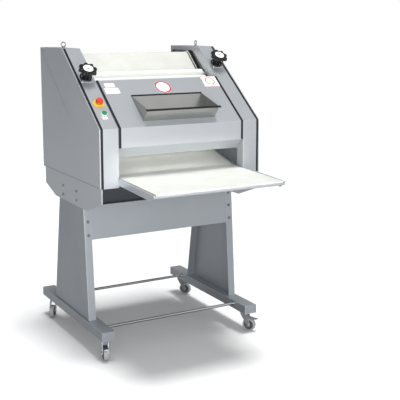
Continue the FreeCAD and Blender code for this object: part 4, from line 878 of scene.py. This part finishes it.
# %% [markdown]
# ## Base sides and stand
# Under the body two plates carry the machine on tapered legs. A leg is one sheet with four flanges
# folded inwards, so it is a rim profile round its outline, like the covers. The feet are flat
# tubes with plates welded over their ends, and the crossbeam is a folded channel.

# %% Plates, legs and feet
BASE_EDGE = [(0, 925), (0, 846), (195, 777), (675, 777), (835, 828), (835, 925)]
LEG_FOOT, LEG_TOP, LEG_FOOT_Y, LEG_TOP_Y = 164, 870, 222, 275
LEG_EDGE = [(LEG_FOOT_Y, LEG_FOOT), (735, LEG_FOOT), (612, LEG_TOP), (LEG_TOP_Y, LEG_TOP)]
LEG_LEAN = (LEG_TOP_Y - LEG_FOOT_Y) / (LEG_TOP - LEG_FOOT)
FOOT_X = 437.5


def leg():
    """Rim profile (x, depth): flange's free edge, flange, bend, outer face; the middle of a 3 mm sheet."""
    rim = [(421.2, 1.5), (459.5, 1.5), (460.9, 1.9), (461.5, 3.5)]
    vertices, faces = grid(folded(LEG_EDGE, rim, closed=True), round_rows=True)
    outer_face = [len(rim) * corner + len(rim) - 1 for corner in range(len(LEG_EDGE))]
    return vertices, faces + [outer_face]


def foot(x):
    """A tube with eased edges and a weld bead's shallow groove before each end plate."""
    section = rounded([(-37.5, -24), (37.5, -24), (37.5, 24), (-37.5, 24)], 1.2, 1)
    places = [10, 10.6, 12.6, 13.0, 13.6, 926.4, 927.0, 927.4, 929.4, 930]
    scales = [0.982, 1, 1, 0.985, 1, 1, 0.985, 1, 1, 0.982]
    return moved(capped(rows_at([section * scale for scale in scales], places, 1)), x, 0, 140)


def leg_front(z):
    """The depth of the legs' front edge at a height."""
    return LEG_TOP_Y - LEG_LEAN * (LEG_TOP - z)


def crossbeam():
    """The channel's middle line: lip, web and lip, leaning with the legs' front flange."""
    low, high, flange, lip = 602.5, 783.5, 4.8, 26.5
    line = [(leg_front(z) + flange + back, z) for z, back in ((low, lip), (low, 0), (high, 0), (high, lip))]
    columns = np.linspace(-459.6, 459.6, 5)
    return grid(np.swapaxes(rows_at([line] * len(columns), columns), 0, 1))


for side, sign in SIDES.items():
    piece("base_plate_" + side, "machine", satin_sheet, "body_sheet",
          on_side(prism(rounded(BASE_EDGE, 2, 2), 463, 469), side), nodes="base_side_" + side, bevel=0.7)
    piece("tapered_leg_" + side, "machine", stand_paint, "stand_paint", on_side(leg(), side),
          nodes="leg_" + side, sheet=2.9, bevel=1.1, segments=3)
    piece("foot_tube_" + side, "machine", stand_paint, "stand_paint", foot(FOOT_X * sign),
          nodes="foot_" + side)
piece("stand_channel", "machine", stand_paint, "stand_paint", crossbeam(), nodes="crossbeam",
      sheet=2.9, bevel=1.1, segments=3)
print("leg faces", triangles["tapered_leg_left"])

# %% Tie rods
def tie_rod(y):
    """The rod with a thin washer where it meets each foot."""
    washer = along_x([(8.1, 399.9), (12.5, 399.9), (13.0, 399.4), (12.6, 397.9), (8.1, 397.9)], ring=True)
    return moved(joined(rod(8, -399.8, 399.8, 0.2), mirrored(washer), washer), 0, y, 146)


piece("tie_bars", "machine", bright_steel, "fastener", tie_rod(138), tie_rod(778), nodes="tie_rods")

# %% [markdown]
# ## Stand bolts
# Button-headed screws with a socket hold the legs, and those on the crossbeam have a washer too.
# One is turned on an axis, and the rest are copies of its array at each place.

# %% Stand screws
lean_angle = math.degrees(math.atan(LEG_LEAN))
bolts = []
for sign in SIDES.values():
    for y in (347, 547):
        for z in (806, 857):
            bolts.append(moved(tipped(screw(7, 4), 1, 90 * sign), 469 * sign, y, z))
    for z in (627, 701, 775):
        bolts.append(moved(tipped(screw(7, 4, 8.5), 0, 90 - lean_angle), 440 * sign, leg_front(z), z))
piece("stand_screws", "machine", dull_screw, "fastener", *bolts, nodes="stand_bolts")
print("screws", len(bolts))

# %% [markdown]
# ## Casters
# A caster has a pressed plate, a ball race, a fork whose cheeks taper to the axle, a moulded wheel
# with a soft grey tread, and in front a brake pedal. Each is drawn about its own swivel axis, with
# the wheel trailing towards -Y, and then turned to its heading.

# %% Wheels, forks and pedals
CASTERS = {"front_left": (-FOOT_X, 74, -15), "front_right": (FOOT_X, 74, 35),
           "rear_left": (-FOOT_X, 846, -36), "rear_right": (FOOT_X, 846, 36)}
AXLE = (0, -28, 37.5)


def at_caster(shape, name):
    """A shape drawn about the swivel axis, at one caster's place and heading."""
    x, y, heading = CASTERS[name]
    return moved(tipped(shape, 2, heading), x, y, 0)


def tread():
    """The tyre's section: crowned face, rounded shoulders and a step down to the hub."""
    half = [(27.2, 0.0), (27.2, 11.0), (30.5, 11.6), (31.5, 12.8), (34.2, 12.6), (36.4, 11.0),
            (37.2, 8.0), (37.5, 0.0)]
    section = [(r, -x) for r, x in half[::-1]] + half
    return moved(along_x(section, 56, ring=True), *AXLE)


def hub():
    """The hub's section: a raised bearing boss, a recessed web with a wave of six, and a rim."""
    half = [(4.3, 12.5), (9.0, 12.5), (10.0, 11.5), (10.8, 8.0), (15.0, 7.2), (22.0, 7.2),
            (24.6, 8.2), (25.6, 11.8), (27.0, 12.4)]
    swell = [0, 0, 0, 0, 0.06, 0.06, 0, 0, 0]
    section = [(r, -x) for r, x in half[::-1]] + half
    return moved(tipped(turned(section, 60, 6, swell[::-1] + swell, ring=True), 1, 90), *AXLE)


def race():
    """The swivel: lower cup, ball gap and upper cap, turned about Z."""
    top, crown = 111.7, 102.7
    profile = [(6, crown), (20, crown), (20.4, crown + 2.2), (18.8, crown + 3.6),
               (18.6, crown + 4.6), (20.2, crown + 5.4), (20.6, crown + 7.4), (18.4, top),
               (6.2, top), (6.0, 115.8), (0.4, 115.8)]
    return turned(profile, 40)


def fork_shell():
    """One U-shaped strip: its half width as it goes down each cheek narrows from 22 mm to 12 mm,
    and round the axle it is a half circle; the middle line of a 2.4 mm pressing."""
    drop = np.array([0, 0.5, 3, 10, 22, 36, 48, 58, 65.2, 70, 74, 76.6, 77.2])
    top, tip = 104.2, 12
    z = top - drop
    _, axle_y, axle_z = AXLE
    levels = [axle_z, 60, 85, top]
    under = z < axle_z
    round_half = np.sqrt(np.maximum(tip ** 2 - (axle_z - z) ** 2, 4))
    half = np.where(under, round_half, np.interp(z, levels, [tip, 15, 19.5, 22]))
    centre = np.where(under, axle_y, np.interp(z, levels, [axle_y, -20, -7, 0]))
    x = 16.5 - np.interp(drop, [0, 0.5, 3], [3.0, 1.0, 0.0])
    cheek = np.stack([np.stack([x, centre + v * half, z], -1) for v in np.linspace(-1, 1, 7)], 1)
    flip = np.array([-1, 1, 1])
    crown = grid(np.stack([cheek[0], cheek[0] * flip]))
    return joined(grid(cheek), grid(cheek[:, ::-1] * flip), crown)


def axle():
    """Axle bolt with a round head on one side and a domed nut on the other."""
    head = [(0.4, -21.2), (5.8, -21.2), (6.8, -20.6), (6.8, -18.2), (7.6, -18.1), (7.6, -17.9),
            (4.0, -17.8)]
    nut = [(4.0, 17.8), (7.6, 17.9), (7.6, 18.1), (6.8, 18.2), (6.8, 20.4), (5.0, 21.2), (0.4, 21.2)]
    return moved(along_x(head + nut, 24), *AXLE)


def pedal():
    """A pressed brake pedal: along its length t it sinks by 6 (3 t^2 - 2 t^3) mm, its width narrows
    at the toe, its tip is a raised lip, and a cosine rib runs down its middle."""
    y = np.array([-20, -24, -32, -44, -56, -68, -76, -79.6])
    t = (-20 - y) / 59.6
    z = 81 - 6 * (3 * t ** 2 - 2 * t ** 3) + np.array([0, 0, 0, 0, 0, 0, 0.5, 1.6])
    half = np.array([12, 14.4, 14.4, 13.5, 12.8, 13.6, 13.2, 10.5])
    ribbed = 0.56 * (t > 0.2) * (t < 0.9)
    return grid(np.stack([np.stack([v * half, y, z + ribbed * np.cos(v * np.pi)], -1)
                          for v in np.linspace(-1, 1, 9)], 1))


plates = []
for x, y, _ in CASTERS.values():
    levels = [(112, 0.99), (112.4, 1), (115.4, 1), (115.9, 0.99)]
    plates.append(moved(stacked(box_tube(66, 74, 8), levels), x, y, 0))
    for across in (-25, 25):
        for along in (-29, 29):
            plates.append(moved(tipped(screw(4.5, 2.8, 6.0), 0, 180), x + across, y + along, 112))
piece("caster_mounts", "machine", zinc_plate, "zinc", *plates, nodes="caster_plates")
for name in CASTERS:
    piece("caster_fork_" + name, "fork_" + name, zinc_plate, "zinc", at_caster(fork_shell(), name),
          nodes="fork_" + name, sheet=2.4, bevel=0.5)
    piece("caster_race_" + name, "fork_" + name, bright_steel, "zinc",
          at_caster(joined(race(), axle()), name))
    piece("caster_tread_" + name, "wheel_" + name, grey_tyre, "wheel_rubber", at_caster(tread(), name),
          nodes="wheel_" + name)
    piece("caster_hub_" + name, "wheel_" + name, dark_hub, "wheel_rubber", at_caster(hub(), name))
for name in ("front_left", "front_right"):
    pin = moved(rod(2.5, -17.4, 17.4, 0.4), 0, -24, 81)
    piece("foot_brake_" + name, "pedal_" + name, zinc_plate, "zinc", at_caster(pedal(), name),
          nodes="brake_pedal_" + name, sheet=3.0, bevel=0.6)
    piece("brake_pin_" + name, "pedal_" + name, bright_steel, "zinc", at_caster(pin, name))
print("caster faces", triangles["caster_tread_front_left"], triangles["caster_fork_front_left"])

# %% [markdown]
# ## Handwheels
# Each column has an adjuster: a square bright plate with four screws, a black notched collar ring,
# and a lobed black handwheel on a tapered neck with a white dial let into its top.
# The lobes are a cosine wave round the axis, squared up by a power below one, that fades out
# towards the neck.

# %% Adjusters
ADJUSTERS = {"left": (-418.0, 389.0), "right": (418.0, 475.0)}


def flange_plate():
    """A 68 mm square with 6 mm corners and eased edges, 4 mm thick."""
    return stacked(box_tube(68, 68, 6), [(0, 1), (3.3, 1), (3.8, 0.993), (4, 0.98)])


def collar():
    """A ring whose top edge is cut by twelve shallow notches, as a wave round the axis."""
    profile = [(27.2, 4.1), (33, 4.1), (33, 9.5), (32, 11.2), (29.5, 12), (27.2, 12)]
    swell = [0, 0, 0.0, 0.012, 0.02, 0]
    return turned(profile, 72, 12, swell, 0.5, ring=True)


def handwheel():
    """Foot, tapered neck and lobed rim turned about Z, with a lobe depth of its own at each height."""
    profile = [(6, 4.6), (19, 4.6), (20, 5.6), (20.4, 9), (18.5, 13), (18, 20), (20, 30), (24, 38),
               (31, 43.2), (38, 45.2), (42.5, 47.6), (44.2, 51), (44.2, 61), (42.6, 65.4),
               (39.5, 67.8), (33, 68.5), (29.6, 68.5), (27.4, 67.8), (27.0, 66.2), (26.8, 66.2)]
    swell = [0, 0, 0, 0, 0, 0.01, 0.03, 0.05, 0.09, 0.12, 0.14, 0.15, 0.15, 0.14, 0.10, 0.03,
             0, 0, 0, 0]
    return turned(profile, 128, 8, swell, 0.62)


def dial():
    """A white face with a raised rim, 0.4 mm under the rubber edge."""
    return turned([(26.9, 66.25), (26.9, 67.4), (25.6, 67.6), (25.0, 67.0), (0.3, 67.0)])


def dial_marks():
    """Ten short strokes and a pointer: thin raised bars, each a small eased box turned to its angle."""
    bars = []
    stroke = box_tube(1.1, 4.0, 0.3)
    for turn in range(0, 360, 36):
        bar = stacked(stroke, [(66.9, 1), (67.25, 1)])
        bars.append(tipped(moved(bar, 0, 21.5, 0), 2, turn))
    needle = rounded([(-1.6, -5), (1.6, -5), (0.5, 17), (-0.5, 17)], 0.4, 2)
    bars.append(stacked(needle, [(67.0, 1), (67.9, 1)]))
    boss = turned([(3.4, 67.0), (3.4, 68.2), (2.8, 68.6), (0.2, 68.6)], 20)
    return joined(*bars, boss)


DIAL_TURN = {"left": 130, "right": 60}
spindle = turned([(0.3, -90), (6.2, -90), (7, -89), (7, 5), (0.3, 5)], 24)
for side, place in ADJUSTERS.items():
    wheel = "handwheel_" + side
    fixed = [flange_plate()] + [moved(screw(4.5, 2.8), across, up, 4)
                                for across in (-27, 27) for up in (-27, 27)]
    plate_nodes = ("adjuster_flanges",) if side == "left" else ()
    piece("adjuster_plate_" + side, "machine", polished_steel, "fastener",
          on_slope(joined(*fixed), *place), nodes=plate_nodes)
    piece("adjuster_collar_" + side, "machine", black_plastic, "black_plastic",
          on_slope(collar(), *place))
    piece("lobed_wheel_" + side, wheel, black_plastic, "black_plastic",
          on_slope(handwheel(), *place), nodes=wheel, smooth=50)
    piece("dial_face_" + side, wheel, white_face, "black_plastic", on_slope(dial(), *place))
    piece("dial_marks_" + side, wheel, black_plastic, "black_plastic",
          on_slope(tipped(dial_marks(), 2, DIAL_TURN[side]), *place))
    piece("adjuster_spindle_" + side, wheel, bright_steel, "fastener", on_slope(spindle, *place))
print("handwheel faces", triangles["lobed_wheel_left"])

# %% [markdown]
# ## Stop and start buttons
# The stop button is a red mushroom with a flared skirt on a yellow collar, and the start button is
# a green cap in a white ring. Behind the sheet each has its contact block, with a bore that leaves
# room for the stem when the button is pressed. All are turned on the slope's normal.

# %% Buttons
STOP, START = (-412.0, 190.0), (-412.0, 108.0)
yellow = turned([(11.5, 0.05), (29.5, 0.05), (29.5, 1.6), (28.6, 2.4), (26.0, 3.0), (21.5, 7.0),
                 (20.5, 7.9), (11.5, 8.0)], ring=True)
mushroom = turned([(0.5, -5.8), (11, -6), (11, 13.6), (13.5, 13.6), (19.2, 13.7), (20, 14.6),
                   (20, 16.4), (17.5, 19.0), (16.6, 21.0), (17.4, 23.4), (17.2, 25.2), (15.6, 26.6),
                   (11.0, 27.3), (0.5, 27.5)], 56)
white_ring = turned([(14.0, 0.05), (17, 0.05), (17, 6.2), (16.4, 8.4), (15.4, 9.0), (14.0, 9.0)],
                    ring=True)
cap = turned([(0.4, -5.8), (13.4, -6), (13.4, 12.4), (12.8, 14.0), (10.0, 14.9), (0.4, 15.1)])


def block(radius, travel, depth):
    """The contact block: a round neck with a bore for the stem's travel, and a square case with
    eased corners and a groove."""
    low, bore, neck = -(travel + 8.5), radius + 0.4, radius + 5
    sleeve = turned([(0.4, low + 1.5), (bore, low + 1.5), (bore, -2.1), (neck + 1, -2.2),
                     (neck + 1, -8), (neck, -8.4), (neck, low)], 40)
    levels = [(-depth - 0.6, 0.96), (-depth, 1), (-23.3, 1), (-23, 0.97), (-22.3, 0.97), (-22, 1),
              (low - 0.4, 1), (low, 0.96)]
    return joined(sleeve, stacked(box_tube(2 * radius + 9, 2 * radius + 9, 3), levels))


piece("stop_collar", "machine", yellow_plastic, "yellow_plastic", on_slope(yellow, *STOP),
      nodes="estop_collar")
piece("stop_block", "machine", black_plastic, "black_plastic", on_slope(block(11, 5, 36), *STOP))
piece("stop_mushroom", "estop_button", red_plastic, "red_plastic", on_slope(mushroom, *STOP),
      nodes="estop_button")
piece("start_ring", "machine", white_nylon, "fastener", on_slope(white_ring, *START), nodes="start_bezel")
piece("start_block", "machine", black_plastic, "black_plastic", on_slope(block(13.5, 3, 34), *START))
piece("start_cap", "start_button", green_plastic, "green_plastic", on_slope(cap, *START),
      nodes="start_button")
print("mushroom faces", triangles["stop_mushroom"])

# %% [markdown]
# ## Plates on the guard
# Such a machine carries plates on its guard. Here they are plain, and an eased card gives each: two
# white cards and a round one with a red rim, a wide one with a thin red line and a red ring, and a
# small one under the start button.

# %% Plain plates
def plate(width, height, ease):
    """A card 0.6 mm thick with eased corners and a narrower top."""
    return stacked(box_tube(width, height, ease), [(0.02, 1), (0.48, 1), (0.6, 0.99)])


def flat_ring(inner, outer):
    """A thin raised ring, turned about its axis."""
    return turned([(inner, 0.55), (outer, 0.55), (outer, 0.8), (inner, 0.8)], 64, ring=True)


def frame_line(width, height, line, high=0.8, ease=1.5):
    """A thin raised line round a rectangle: the band between two eased rectangles."""
    outer = box_tube(width, height, ease)
    inner = box_tube(width - 2 * line, height - 2 * line, ease * 0.5)
    return hoop(rows_at([inner, outer, outer, inner], (0.55, 0.55, high, high), 2))


piece("guard_cards", "guard", white_face, "body_sheet",
      on_slope(plate(56, 30, 1.5), -305, 325), on_slope(plate(80, 44, 1.5), -304, 281),
      on_slope(turned([(47, 0.02), (47, 0.5), (46.6, 0.6), (0.5, 0.6)], 64), 0, 295),
      on_slope(plate(98, 86, 2), 310, 325))
piece("guard_red_lines", "guard", red_print, "body_sheet",
      on_slope(flat_ring(38.5, 46.4), 0, 295), on_slope(flat_ring(24, 29), 310, 329),
      on_slope(frame_line(96, 84, 1.6), 310, 325))
piece("column_card", "machine", white_face, "body_sheet", on_slope(plate(32, 19, 1.5), -414, 80.5))
piece("column_card_line", "machine", red_print, "body_sheet",
      on_slope(frame_line(31, 18, 0.8, 0.75), -414, 80.5))
print("plates made")

# %% [markdown]
# ## Lifting eyes
# A lifting eye is a forged ring on a collar. The ring is a circle carried round a circle, a torus,
# and the collar and stem are turned.

# %% Lifting eyes
def torus(ring, wire, steps=40, around=16):
    """Point (u, v) = ((R + r cos v) cos u, r sin v, (R + r cos v) sin u)."""
    u = np.linspace(0, 2 * np.pi, steps, endpoint=False)[:, None]
    v = np.linspace(0, 2 * np.pi, around, endpoint=False)[None]
    points = np.stack([(ring + wire * np.cos(v)) * np.cos(u), wire * np.sin(v) + 0 * u,
                       (ring + wire * np.cos(v)) * np.sin(u)], -1)
    return hoop(points)


eyes = []
for sign in SIDES.values():
    eye_foot = turned([(9.6, 0), (10, 0.6), (10, 3.8), (9.2, 4.8), (5.4, 5.4), (4.2, 7.4),
                       (3.6, 9.5), (0.3, 9.6)], 32)
    loop = moved(torus(12.2, 3.25), 0, 0, 19.5)
    eyes.append(moved(tipped(joined(eye_foot, loop), 2, 35 * sign), 420 * sign, 620, TOP))
piece("lifting_rings", "machine", bright_steel, "fastener", *eyes, nodes="eye_bolts")

# %% [markdown]
# ## The room
# A wide soft lamp above lights everything, a square one in front stands for a window, and a narrow
# strip reaches into the mouth. The world is white to the camera and brighter in front than at the
# sides to everything else. The floor is pale to the camera and duller to the machine's own sheet.

# %% Floor, lamps, world and camera
FLOOR_HALF, FLOOR_LOW = 14, -0.001


def set_up(name, data, location=(0, 0, 0), turn=(0, 0, 0)):
    """An object of the studio at its place in metres, turned by angles in radians."""
    item = bpy.data.objects.new(name, data)
    bpy.context.collection.objects.link(item)
    item.location, item.rotation_euler = location, turn
    return item


floor_mesh = bpy.data.meshes.new("studio_floor")
floor_mesh.from_pydata([(x * FLOOR_HALF, y * FLOOR_HALF, FLOOR_LOW)
                        for x, y in ((-1, -1), (1, -1), (1, 1), (-1, 1))], [], [(0, 1, 2, 3)])
floor = set_up("studio_floor", floor_mesh)
made, tree, place = new_material("pale_studio_floor")
pale = add(tree, "BsdfDiffuse", {"Color": colour("e9e9e9")}).outputs[0]
dull = add(tree, "BsdfDiffuse", {"Color": colour("a0a0a0")}).outputs[0]
rays = add(tree, "LightPath").outputs
close_up(tree, add(tree, "MixShader", None, _0=rays["Is Camera Ray"], _1=dull, _2=pale))
floor_mesh.materials.append(made)


def sun(name, azimuth, height, spread, strength):
    """A wide soft lamp so far away that it lights everything alike: it shines from an azimuth, where
    0 is the machine's front and 90 its right, and a height above the floor, in degrees."""
    data = bpy.data.lights.new(name, "SUN")
    data.energy, data.angle = strength, math.radians(spread)
    return set_up(name, data, turn=(math.radians(90 - height), 0, math.radians(azimuth)))


def panel_lamp(name, width, height, watts, location, azimuth, spread=180):
    """An upright lamp panel that shines backwards, turned to an azimuth, within a spread in degrees."""
    data = bpy.data.lights.new(name, "AREA")
    data.shape, data.size, data.size_y = "RECTANGLE", width, height
    data.energy, data.spread = watts, math.radians(spread)
    lamp = set_up(name, data, location, (math.radians(90), 0, math.radians(azimuth)))
    lamp.visible_camera = False
    return lamp


sun("skylight", 60, 85, 18, 3.0).visible_glossy = False
panel_lamp("front_window", 1.6, 1.6, 48, (-1.2, -2.9, 0.9), -22)
panel_lamp("mouth_strip", 0.7, 0.10, 0.55, (-0.02, -1.25, 1.03), 0, 14).visible_glossy = False

world = bpy.data.worlds.new("studio")
bpy.context.scene.world = world
world.use_nodes = True
tree = world.node_tree
tree.nodes.clear()
rays = add(tree, "LightPath").outputs
seen = add(tree, "Math", {"operation": "MAXIMUM"}, _0=rays["Is Camera Ray"],
           _1=rays["Is Transmission Ray"]).outputs[0]
FRONT = (0.30, -0.95, -0.05)
direction = add(tree, "TexCoord").outputs["Generated"]
towards = add(tree, "VectorMath", {"operation": "DOT_PRODUCT", 1: FRONT}, _0=direction).outputs["Value"]
towards = add(tree, "MapRange", {"From Min": -1.0, "From Max": 1.0}, Value=towards).outputs[0]
walls = ramp(tree, towards, (0.0, "8a8a8c"), (0.5, "8c8e90"), (0.95, "eeeeee"))
room = add(tree, "Background", {"Strength": 1.1}, Color=walls).outputs[0]
white = add(tree, "Background", {"Color": colour("ffffff"), "Strength": 1.0}).outputs[0]
both = add(tree, "MixShader", None, _0=seen, _1=room, _2=white).outputs[0]
add(tree, "OutputWorld", None, Surface=both)

camera_data = bpy.data.cameras.new("photo_view")
camera_data.lens, camera_data.sensor_width, camera_data.shift_y = 76.74, 36.0, -0.10
camera = set_up("photo_view", camera_data, (-2.1082, -4.1711, 1.7533), (math.pi / 2 - 0.1596, 0, -0.5145))
bpy.context.scene.camera = camera
bpy.context.scene.view_settings.view_transform = "Standard"
print("camera set")

# %% [markdown]
# ## Face count
# The last cell adds up the faces of all the pieces. The dressed model has to stay in the imported
# model's box, give or take a few millimetres.

# %% Face count
print("total faces", sum(triangles.values()))
